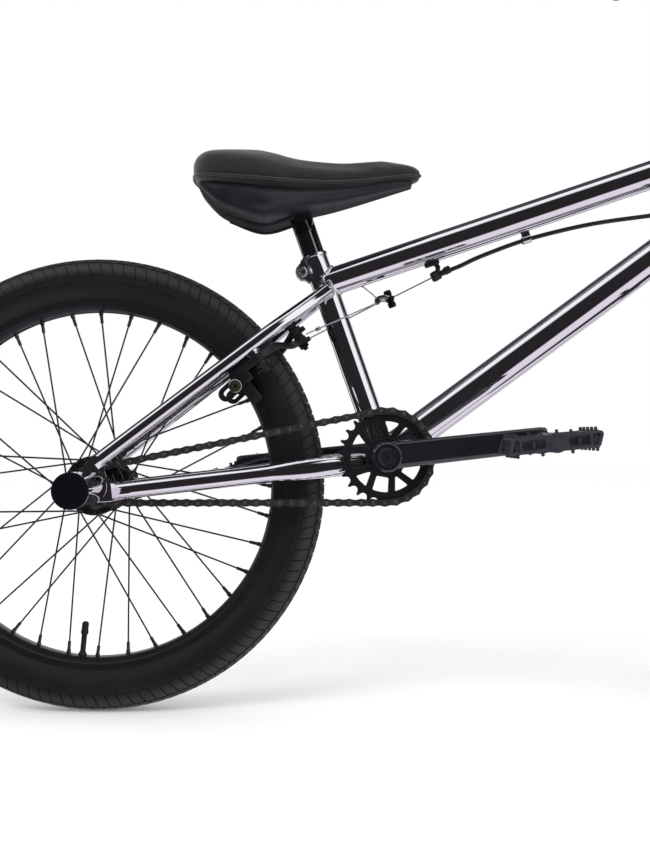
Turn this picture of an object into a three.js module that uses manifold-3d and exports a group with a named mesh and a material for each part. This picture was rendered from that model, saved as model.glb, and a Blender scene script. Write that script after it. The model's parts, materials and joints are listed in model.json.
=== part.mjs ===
// A 20-inch freestyle BMX bike, in millimetres, +X forward, +Y to the rider's left, +Z up.
// The origin is on the ground, midway between the axles.
import * as THREE from 'three';
import { mergeVertices } from 'three/addons/utils/BufferGeometryUtils.js';
import Module from 'manifold-3d';

const wasm = await Module();
wasm.setup();

// ---------------------------------------------------------------- driving dimensions
const GAP = 0.3; // left between two pieces that touch
const WHEELBASE = 888;
const TYRE_RADIUS = 255.7;
const TYRE_HALF_WIDTH = 29;
const RIM = { outer: 209.5, inner: 195.5, halfWidth: 18 };
const SPOKE_COUNT = 36;
const SPOKE_CROSS_ANGLE = 60; // hub hole ahead of or behind its nipple, for three crossings
const REAR_DROPOUT = { inner: 55, outer: 61 };
const FRONT_DROPOUT = { inner: 50, outer: 56 };
const FLANGE = { radius: 33, holes: 30, half: 33, thickness: 3 };

const BOTTOM_BRACKET = { ahead: 323.6, above: 32.3, halfWidth: 34, outer: 20, bore: 17 };
const SEAT_JUNCTION = { ahead: 255.2, above: 227.6 }; // from the rear axle to seat tube meets top tube
const SEAT_TUBE = { outer: 14.3, bore: 13, above: 35.3 };
const BINDER_HOLE = 3.3;
const TOP_TUBE = { outer: 15.9, wall: 1.6, slope: 18.5 };
const DOWN_TUBE = { outer: 19.05, wall: 1.6, slope: 36.4 };
const HEAD_ANGLE = 74.5;
const HEAD_TUBE = { half: 55, outer: 21, bore: 17 };
const AXLE_BELOW_HEAD = 392;
const FORK_RAKE = 33;
const STEERER = { outer: 14.3, bore: 11.5, top: 136, bottom: -68 };

const CHAIN_PITCH = 12.7;
const CHAIN_LINE = 45;
const SPROCKET_TEETH = 25;
const DRIVER_TEETH = 9;
const CRANK_LENGTH = 165;
const CRANK_TILT = 5.7; // the right crank points forward and this much up
const PEDAL_TURN = { left: 14, right: 0 }; // how far each pedal's outer end hangs below its crank's line
const SPINDLE_RADIUS = 9.5;

const PEG = { radius: 19, length: 99, bore: 7.3, wall: 4 };
const CLAMP = { ahead: 52, up: 118 }; // handlebar clamp, in the steering frame
const BAR = {
  radius: 11.1, wall: 2, rise: 215, cornerAt: 82, uprightAt: 178, halfWidth: 362, backsweep: 11, upsweep: 2,
};
const BRAKE_PIVOT = { ahead: 171.9, above: 152.5, aside: 42 };
const STAY_SLOPE = 37.4;
const PAD_CLEARANCE = 2.6;

// ---------------------------------------------------------------- materials
const paint = (color, roughness, metalness) => (
  new THREE.MeshStandardMaterial({ color, roughness, metalness })
);
const CHROME = paint(0xd8d6dc, 0.08, 1);
const BLACK_METAL = paint(0x15161a, 0.38, 0.6);
const STEEL = paint(0x8d8f93, 0.35, 1);
const RUBBER = paint(0x202124, 0.85, 0);
const PLASTIC = paint(0x141417, 0.5, 0);
const FABRIC = paint(0x18181b, 0.8, 0);
const CHAIN_STEEL = paint(0x2b2624, 0.4, 0.9);

// ---------------------------------------------------------------- helpers
const rad = THREE.MathUtils.degToRad;
const point = (x, y, z) => new THREE.Vector3(x, y, z);

function mesh(name, geometry, material) {
  const piece = new THREE.Mesh(geometry, material);
  piece.name = name;
  return piece;
}

// A closed geometry as a solid that can be cut and joined.
function solid(geometry) {
  const bare = geometry.clone();
  bare.deleteAttribute('normal');
  bare.deleteAttribute('uv');
  const merged = mergeVertices(bare, 1e-4);
  const corners = [];
  for (let i = 0; i < merged.index.count; i += 3) {
    const [a, b, c] = [0, 1, 2].map((k) => merged.index.getX(i + k));
    if (a !== b && b !== c && a !== c) {
      corners.push(a, b, c);
    }
  }
  const vertProperties = new Float32Array(merged.attributes.position.array);
  return new wasm.Manifold(new wasm.Mesh({ numProp: 3, vertProperties, triVerts: new Uint32Array(corners) }));
}

function shell(manifold) {
  const result = manifold.getMesh();
  const geometry = new THREE.BufferGeometry();
  geometry.setAttribute('position', new THREE.BufferAttribute(result.vertProperties, 3));
  geometry.setIndex(new THREE.BufferAttribute(result.triVerts, 1));
  geometry.computeVertexNormals();
  return geometry;
}

const join = (first, ...others) => others.reduce((sum, other) => sum.add(other), first);
const cut = (first, ...others) => others.reduce((rest, other) => rest.subtract(other), first);

// Turns a geometry made along +Y so that it runs from one point towards another.
function laid(geometry, from, to) {
  const direction = to.clone().sub(from).normalize();
  const turn = new THREE.Quaternion().setFromUnitVectors(point(0, 1, 0), direction);
  return geometry.applyMatrix4(new THREE.Matrix4().compose(from, turn, point(1, 1, 1)));
}

function rod(from, to, radius, sides = 14) {
  const geometry = slab(circle(radius, sides), 0, from.distanceTo(to));
  return laid(geometry.rotateX(-Math.PI / 2), from, to);
}

// A bore's polygon has its flats, not its corners, at the radius, so a round piece fits in it.
const boreCorner = (radius, sides) => radius / Math.cos(Math.PI / sides);
const drill = (from, to, radius, sides = 14) => rod(from, to, boreCorner(radius, sides), sides);

function pipe(from, to, outer, bore, sides = 14) {
  const hole = circle(boreCorner(bore, sides), sides);
  const geometry = slab(circle(outer, sides), 0, from.distanceTo(to), [hole]);
  return laid(geometry.rotateX(-Math.PI / 2), from, to);
}

// A profile of [radius, height] pairs turned about +Y.
function turned(profile, sides = 14) {
  return new THREE.LatheGeometry(profile.map(([r, h]) => new THREE.Vector2(r, h)), sides);
}

// A block given by its centre and its sizes.
function block(centre, x, y, z) {
  return new THREE.BoxGeometry(x, y, z).translate(centre.x, centre.y, centre.z);
}

// A flat outline of [x, y] pairs, extruded along +Z from one height to another.
function slab(outline, low, high, holes = []) {
  const shape = new THREE.Shape(outline.map(([x, y]) => new THREE.Vector2(x, y)));
  holes.forEach((hole) => shape.holes.push(new THREE.Path(hole.map(([x, y]) => new THREE.Vector2(x, y)))));
  const options = { depth: high - low, bevelEnabled: false };
  return new THREE.ExtrudeGeometry(shape, options).translate(0, 0, low);
}

// The same for an upright outline of [x, z] pairs, from one y to another.
function upright(outline, low, high, holes = []) {
  return slab(outline, -high, -low, holes).rotateX(Math.PI / 2);
}

function circle(radius, count, cx = 0, cy = 0, from = 0, to = 360) {
  const closed = to - from === 360;
  return Array.from({ length: closed ? count : count + 1 }, (_, i) => {
    const angle = rad(from + ((to - from) * i) / count);
    return [cx + radius * Math.cos(angle), cy + radius * Math.sin(angle)];
  });
}

// A tube through a list of points, whose rings can be oval and can change size.
// sizes holds [half width across, half height] per point; wall makes it hollow and open at both ends.
function drawn(points, sizes, sides, wall = 0) {
  const rings = points.map((place, i) => {
    const before = points[Math.max(i - 1, 0)];
    const after = points[Math.min(i + 1, points.length - 1)];
    const ahead = after.clone().sub(before).normalize();
    const across = point(0, 1, 0).addScaledVector(ahead, -ahead.y);
    if (across.length() < 0.5) {
      across.set(1, 0, 0).addScaledVector(ahead, -ahead.x);
    }
    across.normalize();
    const over = new THREE.Vector3().crossVectors(across, ahead);
    return { place, across, over, size: sizes[i] ?? sizes[0] };
  });
  const ringAt = ({ place, across, over, size }, inset) => circle(1, sides).map(([c, s]) => place.clone()
    .addScaledVector(across, c * (size[0] - inset))
    .addScaledVector(over, s * (size[1] - inset)));
  const loop = (inset) => rings.map((ring) => ringAt(ring, inset));
  return loft(loop(0), wall ? loop(wall) : null);
}

// Skins a row of rings of points; a second row is the bore.
function loft(outer, bore = null) {
  const rows = bore ? [...outer, ...[...bore].reverse()] : outer;
  const sides = rows[0].length;
  const positions = rows.flat().flatMap((p) => [p.x, p.y, p.z]);
  const faces = [];
  const strips = bore ? rows.length : rows.length - 1;
  for (let row = 0; row < strips; row += 1) {
    const next = (row + 1) % rows.length;
    for (let k = 0; k < sides; k += 1) {
      const l = (k + 1) % sides;
      faces.push(row * sides + k, row * sides + l, next * sides + l);
      faces.push(row * sides + k, next * sides + l, next * sides + k);
    }
  }
  if (!bore) {
    const last = (rows.length - 1) * sides;
    for (let k = 1; k < sides - 1; k += 1) {
      faces.push(0, k + 1, k, last, last + k, last + k + 1);
    }
  }
  const geometry = new THREE.BufferGeometry();
  geometry.setAttribute('position', new THREE.Float32BufferAttribute(positions, 3));
  geometry.setIndex(faces);
  const volume = solid(geometry).volume();
  if (volume < 0) {
    geometry.setIndex(faces.reduce((turnedOver, _, i) => {
      if (i % 3 === 0) {
        turnedOver.push(faces[i], faces[i + 2], faces[i + 1]);
      }
      return turnedOver;
    }, []));
  }
  geometry.computeVertexNormals();
  return geometry;
}

// A cable of round section along a smooth curve through points.
function cable(points, radius, steps, sides = 5) {
  const section = new THREE.Shape(circle(radius, sides).map(([x, y]) => new THREE.Vector2(x, y)));
  const extrudePath = new THREE.CatmullRomCurve3(points);
  return new THREE.ExtrudeGeometry(section, { steps, extrudePath, bevelEnabled: false });
}

// ---------------------------------------------------------------- the frame's own points
const rearAxle = point(-WHEELBASE / 2, 0, TYRE_RADIUS);
const frontAxle = point(WHEELBASE / 2, 0, TYRE_RADIUS);
const fromRear = (x, z, y = 0) => point(rearAxle.x + x, y, rearAxle.z + z);
const bracket = fromRear(BOTTOM_BRACKET.ahead, BOTTOM_BRACKET.above);
const seatJunction = fromRear(SEAT_JUNCTION.ahead, SEAT_JUNCTION.above);
const seatDirection = seatJunction.clone().sub(bracket).normalize();
const seatTubeTop = seatJunction.clone().addScaledVector(seatDirection, SEAT_TUBE.above);

const hanger = fromRear(330, 211);
const cableStop = fromRear(384, 238);
const pullWay = cableStop.clone().sub(hanger).normalize();

const lean = rad(90 - HEAD_ANGLE);
const steeringUp = point(-Math.sin(lean), 0, Math.cos(lean));
const steeringAhead = point(Math.cos(lean), 0, Math.sin(lean));
const headCentre = frontAxle.clone()
  .addScaledVector(steeringAhead, -FORK_RAKE)
  .addScaledVector(steeringUp, AXLE_BELOW_HEAD);
const onSteering = (x, y, z) => headCentre.clone()
  .addScaledVector(steeringAhead, x)
  .addScaledVector(steeringUp, z)
  .add(point(0, y, 0));

// Where a tube that climbs from a point at a slope meets the steering axis.
function meetsSteering(start, slope) {
  const climb = Math.tan(rad(slope));
  const offset = headCentre.clone().sub(start);
  const along = (offset.x * climb - offset.z) / (steeringUp.z - steeringUp.x * climb);
  return headCentre.clone().addScaledVector(steeringUp, along);
}
const topTubeEnd = meetsSteering(seatJunction, TOP_TUBE.slope);
const downTubeEnd = meetsSteering(bracket, DOWN_TUBE.slope);

// ---------------------------------------------------------------- main tubes
const headAt = (z) => onSteering(0, 0, z);
const shellAt = (y) => point(bracket.x, y, bracket.z);
const headKeepOut = solid(rod(headAt(-HEAD_TUBE.half - 20), headAt(HEAD_TUBE.half + 20),
  HEAD_TUBE.outer + GAP, 16));
const seatKeepOut = solid(rod(bracket, seatTubeTop.clone().addScaledVector(seatDirection, 20),
  SEAT_TUBE.outer + GAP));
const shellKeepOut = solid(rod(shellAt(-60), shellAt(60), BOTTOM_BRACKET.outer + GAP, 16));
const topKeepOut = solid(rod(seatJunction, topTubeEnd, TOP_TUBE.outer + GAP));

function headTube() {
  const { half, outer } = HEAD_TUBE;
  const tube = solid(pipe(headAt(-half), headAt(half), outer, HEAD_TUBE.bore, 16));
  // two ears that anchor the lower brake cables of the cable rotor
  const ears = [-1, 1].map((side) => {
    const hole = circle(2.2, 6, 0, side * 15);
    const ear = slab([[-9, 0], [9, 0], [7, side * 22], [-7, side * 22]], 40, 44, [hole]);
    return solid(ear.translate(0, side * 18.5, 0)
      .applyMatrix4(new THREE.Matrix4().makeBasis(steeringAhead, point(0, 1, 0), steeringUp))
      .translate(headCentre.x, 0, headCentre.z));
  });
  const bore = solid(drill(headAt(-60), headAt(60), HEAD_TUBE.bore, 16));
  return shell(cut(join(tube, ...ears), bore));
}

function topTube() {
  const tube = solid(pipe(seatJunction, topTubeEnd, TOP_TUBE.outer, TOP_TUBE.outer - TOP_TUBE.wall));
  // the cable stop: a tab under the tube that holds the end of the cable's housing
  const back = cableStop.clone().addScaledVector(pullWay, -4);
  const front = cableStop.clone().addScaledVector(pullWay, 4);
  const tab = solid(block(point(cableStop.x - 1, 0, cableStop.z + 10), 9, 7, 18));
  const barrel = solid(rod(back, front, 6, 10));
  const wireHole = solid(rod(back.clone().addScaledVector(pullWay, -5),
    front.clone().addScaledVector(pullWay, 5), 1.7, 6));
  const inside = solid(drill(seatJunction, topTubeEnd, TOP_TUBE.outer - TOP_TUBE.wall));
  return shell(cut(join(tube, cut(join(tab, barrel), inside)), headKeepOut, seatKeepOut, wireHole));
}

function downTube() {
  const tube = solid(pipe(bracket, downTubeEnd, DOWN_TUBE.outer, DOWN_TUBE.outer - DOWN_TUBE.wall));
  return shell(cut(tube, headKeepOut, shellKeepOut, seatKeepOut, topKeepOut));
}

const behind = point(-seatDirection.z, 0, seatDirection.x);
const lugCentre = seatTubeTop.clone().addScaledVector(seatDirection, -15.5).addScaledVector(behind, 19);

function seatTube() {
  const tube = solid(pipe(bracket, seatTubeTop, SEAT_TUBE.outer, SEAT_TUBE.bore));
  const bore = solid(drill(bracket, seatTubeTop.clone().addScaledVector(seatDirection, 5), SEAT_TUBE.bore));
  // two pinch lugs behind a slot at the tube's top
  const slot = solid(laid(new THREE.BoxGeometry(24, 34, 3), seatTubeTop.clone()
    .addScaledVector(seatDirection, -16).addScaledVector(behind, 19), seatTubeTop.clone()
    .addScaledVector(behind, 19)));
  const lugs = solid(rod(point(lugCentre.x, -10, lugCentre.z), point(lugCentre.x, 10, lugCentre.z), 7.5, 12));
  const boltHole = solid(drill(point(lugCentre.x, -12, lugCentre.z), point(lugCentre.x, 12, lugCentre.z),
    BINDER_HOLE, 8));
  return shell(cut(join(tube, lugs), bore, slot, boltHole, shellKeepOut));
}

function bracketShell() {
  const { halfWidth, outer, bore } = BOTTOM_BRACKET;
  return pipe(shellAt(-halfWidth), shellAt(halfWidth), outer, bore, 16);
}

// ---------------------------------------------------------------- rear triangle
// The dropout plate: a slot open to the rear, with a foot for each stay.
function dropoutPlate() {
  const outline = [
    [-26, 7.4], [-26, 15], [-16, 19], [-2, 26], [6, 36], [17, 40], [27, 32], [26, 18], [36, 8],
    [50, 6], [50, -13], [34, -15], [14, -20], [-12, -19], [-26, -14], [-26, -7.4],
    [0, -7.4], [5.2, -5.2], [7.4, 0], [5.2, 5.2], [0, 7.4],
  ];
  return upright(outline, REAR_DROPOUT.inner, REAR_DROPOUT.outer).translate(rearAxle.x, 0, rearAxle.z);
}

const mirrored = (geometry) => {
  const flipped = geometry.clone().scale(1, -1, 1);
  const index = flipped.index ? Array.from(flipped.index.array)
    : [...Array(flipped.attributes.position.count).keys()];
  for (let i = 0; i < index.length; i += 3) {
    [index[i + 1], index[i + 2]] = [index[i + 2], index[i + 1]];
  }
  flipped.setIndex(index);
  return flipped;
};
const sided = (side, geometry) => (side > 0 ? geometry : mirrored(geometry));

const dropoutKeepOut = solid(upright(
  [[-40, -30], [53, -30], [53, 12], [30, 16], [30, 44], [-40, 44]],
  REAR_DROPOUT.inner - GAP, REAR_DROPOUT.outer + GAP,
).translate(rearAxle.x, 0, rearAxle.z));

function chainStay() {
  const way = [[34, 58, 9.5, 9.5], [120, 52.5, 9.5, 9.8], [205, 44, 8.5, 10.5], [243, 39.5, 7.6, 11.5],
    [268, 33.5, 7.4, 12], [310, 24, 9, 11]];
  const points = way.map(([x, y]) => fromRear(x, -8.3 + 0.1128 * x, y));
  const tube = solid(drawn(points, way.map(([, , w, h]) => [w, h]), 8, 1.6));
  return cut(tube, dropoutKeepOut, shellKeepOut);
}

const stayWay = point(Math.cos(rad(STAY_SLOPE)), 0, Math.sin(rad(STAY_SLOPE)));
const stayFront = point(Math.sin(rad(STAY_SLOPE)), 0, -Math.cos(rad(STAY_SLOPE)));
const brakePivot = fromRear(BRAKE_PIVOT.ahead, BRAKE_PIVOT.above, BRAKE_PIVOT.aside);

function seatStay() {
  const way = [[-172, 58, 8], [-80, 51, 8], [0, 44, 8], [38, 39, 8], [75, 26, 8], [103, 18, 8]];
  const points = way.map(([along, y]) => point(0, y, 0).addScaledVector(stayWay, along)
    .add(point(brakePivot.x, 0, brakePivot.z)));
  const tube = solid(drawn(points, way.map(([, , r]) => [r, r]), 8, 1.6));
  const boss = solid(rod(brakePivot, brakePivot.clone().addScaledVector(stayFront, 10.5), 7.5, 8));
  const stud = solid(rod(brakePivot, brakePivot.clone().addScaledVector(stayFront, 30), 4.8, 8));
  const inside = solid(drawn(points, way.map(([, , r]) => [r - 1.6, r - 1.6]), 8));
  return cut(join(tube, cut(join(boss, stud), inside)), dropoutKeepOut, seatKeepOut, topKeepOut);
}

// ---------------------------------------------------------------- pegs and axles
// A peg lies along +Y from its foot on the dropout: a tube with a thick foot and a plastic end.
function peg(side, axle, dropout) {
  const { radius, length, bore, wall } = PEG;
  const profile = [[0, length - 6], [radius - wall, length - 6], [radius - wall, 8], [bore, 8], [bore, 0],
    [radius, 0], [radius, length], [0, length]];
  const foot = point(axle.x, side * (dropout.outer + GAP), axle.z);
  return laid(turned(profile, 16), foot, foot.clone().add(point(0, side, 0)));
}

// Half of an axle with its cone and its nut, from the middle outwards.
function axle(radius, dropout) {
  const { inner, outer } = dropout;
  const nutIn = outer + 2 * GAP + 8;
  const profile = [[0, -nutIn - 14], [radius, -nutIn - 14], [radius, -nutIn - 11], [12, -nutIn - 11],
    [12, -nutIn], [radius, -nutIn], [radius, -inner + GAP], [11, -inner + GAP], [11, -inner + 4.5],
    [radius, -inner + 4.5]];
  const other = [...profile].reverse().map(([r, h]) => [r, -h]);
  return turned([...profile, ...other], 8);
}

// ---------------------------------------------------------------- wheels
// Every wheel piece turns about +Y and is centred on the axle.
function tyre() {
  const side = [[205, 13.5], [224, TYRE_HALF_WIDTH - 2], [238, TYRE_HALF_WIDTH - 0.5], [250, 18],
    [TYRE_RADIUS, 0]];
  const cavity = [[248, 0], [236, 22], [211, 11.5]];
  const below = ([r, h]) => [r, -h];
  return turned([
    ...side.map(below),
    ...[...side].reverse().slice(1),
    ...[...cavity].reverse(),
    ...cavity.slice(1).map(below),
    below(side[0]),
  ], 32);
}

function rim() {
  const { outer, inner, halfWidth } = RIM;
  return turned([[inner, -halfWidth + 6], [outer, -halfWidth], [outer - 8, -halfWidth + 4],
    [outer - 8, halfWidth - 4], [outer, halfWidth], [inner, halfWidth - 6], [inner, -halfWidth + 6]], 32);
}

// The spokes cross three others and end in a ring of nipples just inside the rim.
function spokes() {
  const ringOuter = RIM.inner - GAP;
  const ringInner = ringOuter - 3.2;
  const ring = solid(turned([
    [ringInner, -4], [ringOuter, -4], [ringOuter, 4], [ringInner, 4], [ringInner, -4],
  ], 32));
  const all = Array.from({ length: SPOKE_COUNT }, (_, i) => {
    const nipple = rad(90 + (i * 360) / SPOKE_COUNT);
    const side = i % 2 === 0 ? -1 : 1;
    const turn = rad(SPOKE_CROSS_ANGLE) * (Math.floor(i / 2) % 2 === 0 ? -1 : 1);
    // each crossing spoke lies a little in or out of its neighbour's plane
    const hole = point(FLANGE.holes * Math.cos(nipple + turn), side * (FLANGE.half + 1.4 * Math.sign(turn)),
      FLANGE.holes * Math.sin(nipple + turn));
    const tip = point((ringOuter - 1.5) * Math.cos(nipple), 0, (ringOuter - 1.5) * Math.sin(nipple));
    const clearOfFlange = hole.clone().lerp(tip, 0.085);
    return solid(rod(clearOfFlange, tip, 1.1, 3));
  });
  return shell(join(ring, ...all));
}

function hub(bore, leftEnd, rightEnd, middle) {
  const { radius, half, thickness } = FLANGE;
  const t = thickness / 2;
  return turned([[bore, -rightEnd], [middle, -rightEnd], [radius, -half - t], [radius, -half + t],
    [middle, -half + t + 4], [middle, half - t - 4], [radius, half - t], [radius, half + t],
    [middle, half + t + 2], [middle, leftEnd], [bore, leftEnd], [bore, -rightEnd]], 18);
}

// ---------------------------------------------------------------- drivetrain
const pitchRadius = (teeth) => CHAIN_PITCH / (2 * Math.sin(Math.PI / teeth));

function toothedOutline(teeth, phase) {
  const r = pitchRadius(teeth);
  const step = 360 / teeth;
  const corners = [[-0.11, r + 2.2], [0.11, r + 2.2], [0.5, r - 3.9]];
  return Array.from({ length: teeth }, (_, i) => corners.map(([share, radius]) => {
    const angle = rad(phase + (i + share) * step);
    return [radius * Math.cos(angle), radius * Math.sin(angle)];
  })).flat();
}

// The sprocket: five pairs of parallel arms between its boss and its toothed ring.
function sprocket() {
  const arms = 5;
  const holes = [];
  for (let i = 0; i < arms; i += 1) {
    const middle = 44 + (i * 360) / arms;
    const between = middle + 180 / arms;
    holes.push(windowBetween(middle, 15, 13, 21.5));
    holes.push(windowBetween(between, 11.5, 3.2, 22.5));
  }
  const outline = toothedOutline(SPROCKET_TEETH, 0);
  const plate = upright(outline, -CHAIN_LINE - 1.5, -CHAIN_LINE + 1.5,
    [...holes, circle(boreCorner(SPINDLE_RADIUS + GAP, 12), 12)]);
  const boss = pipe(point(0, -CHAIN_LINE - 6.5, 0), point(0, -CHAIN_LINE + 6, 0), 17,
    SPINDLE_RADIUS + GAP, 12);
  return shell(join(solid(plate), solid(boss)));
}

// One window of the sprocket: half widths at its outer and inner edge, and its inner radius.
function windowBetween(angle, outerHalf, innerHalf, innerRadius) {
  const outerRadius = 39;
  const spread = THREE.MathUtils.radToDeg(Math.asin(outerHalf / 2 / outerRadius)) * 2;
  const corners = circle(outerRadius, 2, 0, 0, angle - spread / 2, angle + spread / 2);
  const turn = rad(angle);
  const inner = [innerHalf / 2, -innerHalf / 2].map((half) => [
    innerRadius * Math.cos(turn) - half * Math.sin(turn),
    innerRadius * Math.sin(turn) + half * Math.cos(turn),
  ]);
  return [...corners, ...inner];
}

function driver() {
  const cog = upright(toothedOutline(DRIVER_TEETH, 10), -CHAIN_LINE - 1.5, -CHAIN_LINE + 1.5);
  const body = rod(point(0, -50, 0), point(0, -FLANGE.half - 3, 0), 13.2, 12);
  const bore = drill(point(0, -60, 0), point(0, 0, 0), 7.3, 8);
  return shell(cut(join(solid(cog), solid(body)), solid(bore)));
}

// The loop of the chain's pitch line moved outwards by an offset, as [x, z] pairs about the rear axle.
function chainLoop(offset) {
  const front = pitchRadius(SPROCKET_TEETH);
  const rear = pitchRadius(DRIVER_TEETH);
  const { ahead, above } = BOTTOM_BRACKET;
  const line = THREE.MathUtils.radToDeg(Math.atan2(above, ahead));
  const splay = THREE.MathUtils.radToDeg(Math.asin((front - rear) / Math.hypot(ahead, above)));
  const high = line + 90 + splay;
  const low = line - 90 - splay;
  return [
    ...circle(front + offset, 16, ahead, above, low, high),
    ...circle(rear + offset, 10, 0, 0, high, low + 360),
  ];
}

// The chain: side plates and an outer edge round a channel that the teeth run in.
function chain() {
  const half = 4.2;
  const channel = 2.1;
  const around = solid(upright(chainLoop(4.9), -CHAIN_LINE - half, -CHAIN_LINE + half, [chainLoop(-4.6)]));
  const groove = solid(upright(chainLoop(3.3), -CHAIN_LINE - channel, -CHAIN_LINE + channel));
  return shell(cut(around, groove).translate([rearAxle.x, 0, rearAxle.z]));
}

// ---------------------------------------------------------------- cranks and pedals
// All of it is made about the spindle, with the crank arm along +X and its outer face towards -Y.
const ARM = { rootIn: 53, rootOut: 75, tipIn: 66, tipOut: 83, top: 16 };

function crankArm() {
  const section = (x, inner, outer, low) => circle(1, 10).map(([c, s]) => point(
    x, -(inner + outer) / 2 + (c * (outer - inner)) / 2, (ARM.top + low) / 2 + (s * (ARM.top - low)) / 2,
  ));
  const beam = loft([
    section(0, ARM.rootIn, ARM.rootOut, -13.5),
    section(60, 56, 77.5, -12.4),
    section(CRANK_LENGTH + 8, ARM.tipIn, ARM.tipOut, -10.4),
  ]);
  const root = rod(point(0, -ARM.rootOut - 1.5, 0), point(0, -ARM.rootIn, 0), 16);
  const tip = rod(point(CRANK_LENGTH, -ARM.tipOut, 0), point(CRANK_LENGTH, -ARM.tipIn, 0), 12.5, 12);
  const spindleHole = drill(point(0, -72 - GAP, 0), point(0, 0, 0), SPINDLE_RADIUS + GAP, 12);
  const pedalHole = drill(point(CRANK_LENGTH, -100, 0), point(CRANK_LENGTH, -ARM.tipIn + 2, 0), 7 + GAP, 8);
  return shell(cut(join(solid(beam), solid(root), solid(tip)), solid(spindleHole), solid(pedalHole)));
}

const PEDAL = { inner: 90, outer: 170, halfLength: 47, halfHeight: 8.5 };

function pedalAxle() {
  const start = -ARM.tipIn;
  return turned([[0, 0], [7, 0], [7, 17 + GAP], [9.5, 17 + GAP], [9.5, 22], [6, 22], [6, 96], [0, 96]], 8)
    .rotateX(Math.PI).translate(CRANK_LENGTH, start, 0);
}

// The pedal's cage: two end plates and two rails round a centre barrel with two webs.
function pedal() {
  const { inner, outer, halfLength, halfHeight } = PEDAL;
  const middle = (inner + outer) / 2;
  const parts = [
    block(point(0, -inner - 3, 0), 2 * halfLength - 12, 6, 2 * halfHeight),
    block(point(0, -outer + 3, 0), 2 * halfLength, 6, 2 * halfHeight),
    block(point(-halfLength + 4, -middle, 0), 8, outer - inner, 2 * halfHeight - 4),
    block(point(halfLength - 4, -middle, 0), 8, outer - inner, 2 * halfHeight - 4),
    block(point(0, -middle, 0), 2 * halfLength - 4, 9, 2 * halfHeight - 5),
    rod(point(0, -outer, 0), point(0, -inner + 1, 0), 11, 12),
  ].map(solid);
  const bore = solid(drill(point(0, -outer + 5, 0), point(0, 0, 0), 6 + GAP, 8));
  return shell(cut(join(...parts), bore)).translate(CRANK_LENGTH, 0, 0);
}

// ---------------------------------------------------------------- seat
const seatTop = seatTubeTop.clone().addScaledVector(seatDirection, 52);

// A closed form through cross sections, each [x, half width, low z, high z] about the post's top.
function saddleForm(sections, flatness) {
  const rings = sections.map(([x, halfWidth, low, high]) => circle(1, 14).map(([c, s]) => {
    const square = (v) => Math.sign(v) * Math.abs(v) ** flatness;
    const z = (low + high) / 2 + ((high - low) / 2) * square(s);
    return point(seatTop.x + x, halfWidth * square(c), seatTop.z + z);
  }));
  return loft(rings);
}

// The post ends in a rounded head that lies across the bike; the base tilts about that head's centre.
const POST = { radius: 12.7, bore: 10.5, headHalf: 9, tilt: 8 };
const seatPivot = seatTop.clone().addScaledVector(seatDirection, -POST.radius);
const besidePivot = (y) => seatPivot.clone().add(point(0, y, 0));

function seatPost() {
  const foot = seatTop.clone().addScaledVector(seatDirection, -170);
  const tube = solid(pipe(foot, seatPivot, POST.radius, POST.bore));
  const plug = solid(rod(seatTop.clone().addScaledVector(seatDirection, -26), seatPivot, POST.radius));
  const head = solid(rod(besidePivot(-POST.headHalf), besidePivot(POST.headHalf), POST.radius, 24));
  return shell(join(tube, plug, head));
}

function seatBase() {
  const base = solid(saddleForm([
    [-110, 34, 20, 34], [-88, 60, -4, 30], [-36, 66, -19.5, 24], [-8, 56, -9, 22], [24, 44, -4, 22],
    [66, 30, 9, 26], [128, 16, 26, 36],
  ], 0.8));
  const reach = POST.headHalf + GAP;
  const socket = solid(drill(besidePivot(-reach), besidePivot(reach), POST.radius + GAP, 24));
  // the post's room when the base tilts either way
  const room = [-1, -0.5, 0, 0.5, 1].map((share) => {
    const down = seatDirection.clone().negate().applyAxisAngle(point(0, 1, 0), rad(share * POST.tilt));
    return solid(drill(seatPivot, seatPivot.clone().addScaledVector(down, 50), POST.radius + 2 * GAP, 20));
  });
  return shell(cut(base, socket, ...room));
}

function seatPad() {
  const pad = solid(saddleForm([
    [-116, 40, 30, 52], [-98, 66, 22, 64], [-40, 70, 16, 58], [0, 54, 16, 50], [60, 33, 18, 48],
    [118, 21, 26, 54], [138, 12, 34, 50],
  ], 0.8));
  const base = solid(saddleForm([
    [-110, 36, 26, 35], [-89, 61, 7, 31], [-40, 67, -7, 25], [0, 51, 5, 23], [60, 31, 11, 27],
    [130, 17, 25, 37],
  ], 0.8));
  return shell(cut(pad, base));
}

// ---------------------------------------------------------------- steering, in its own frame
// +Z is up the steering axis and the origin is the middle of the head tube.
function forkSteerer() {
  const { outer, bore, top, bottom } = STEERER;
  return turned([[bore, bottom - 26], [19.5, bottom - 26], [20, bottom], [outer, bottom], [outer, top],
    [bore, top], [bore, bottom - 26]], 16).rotateX(Math.PI / 2);
}

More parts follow.
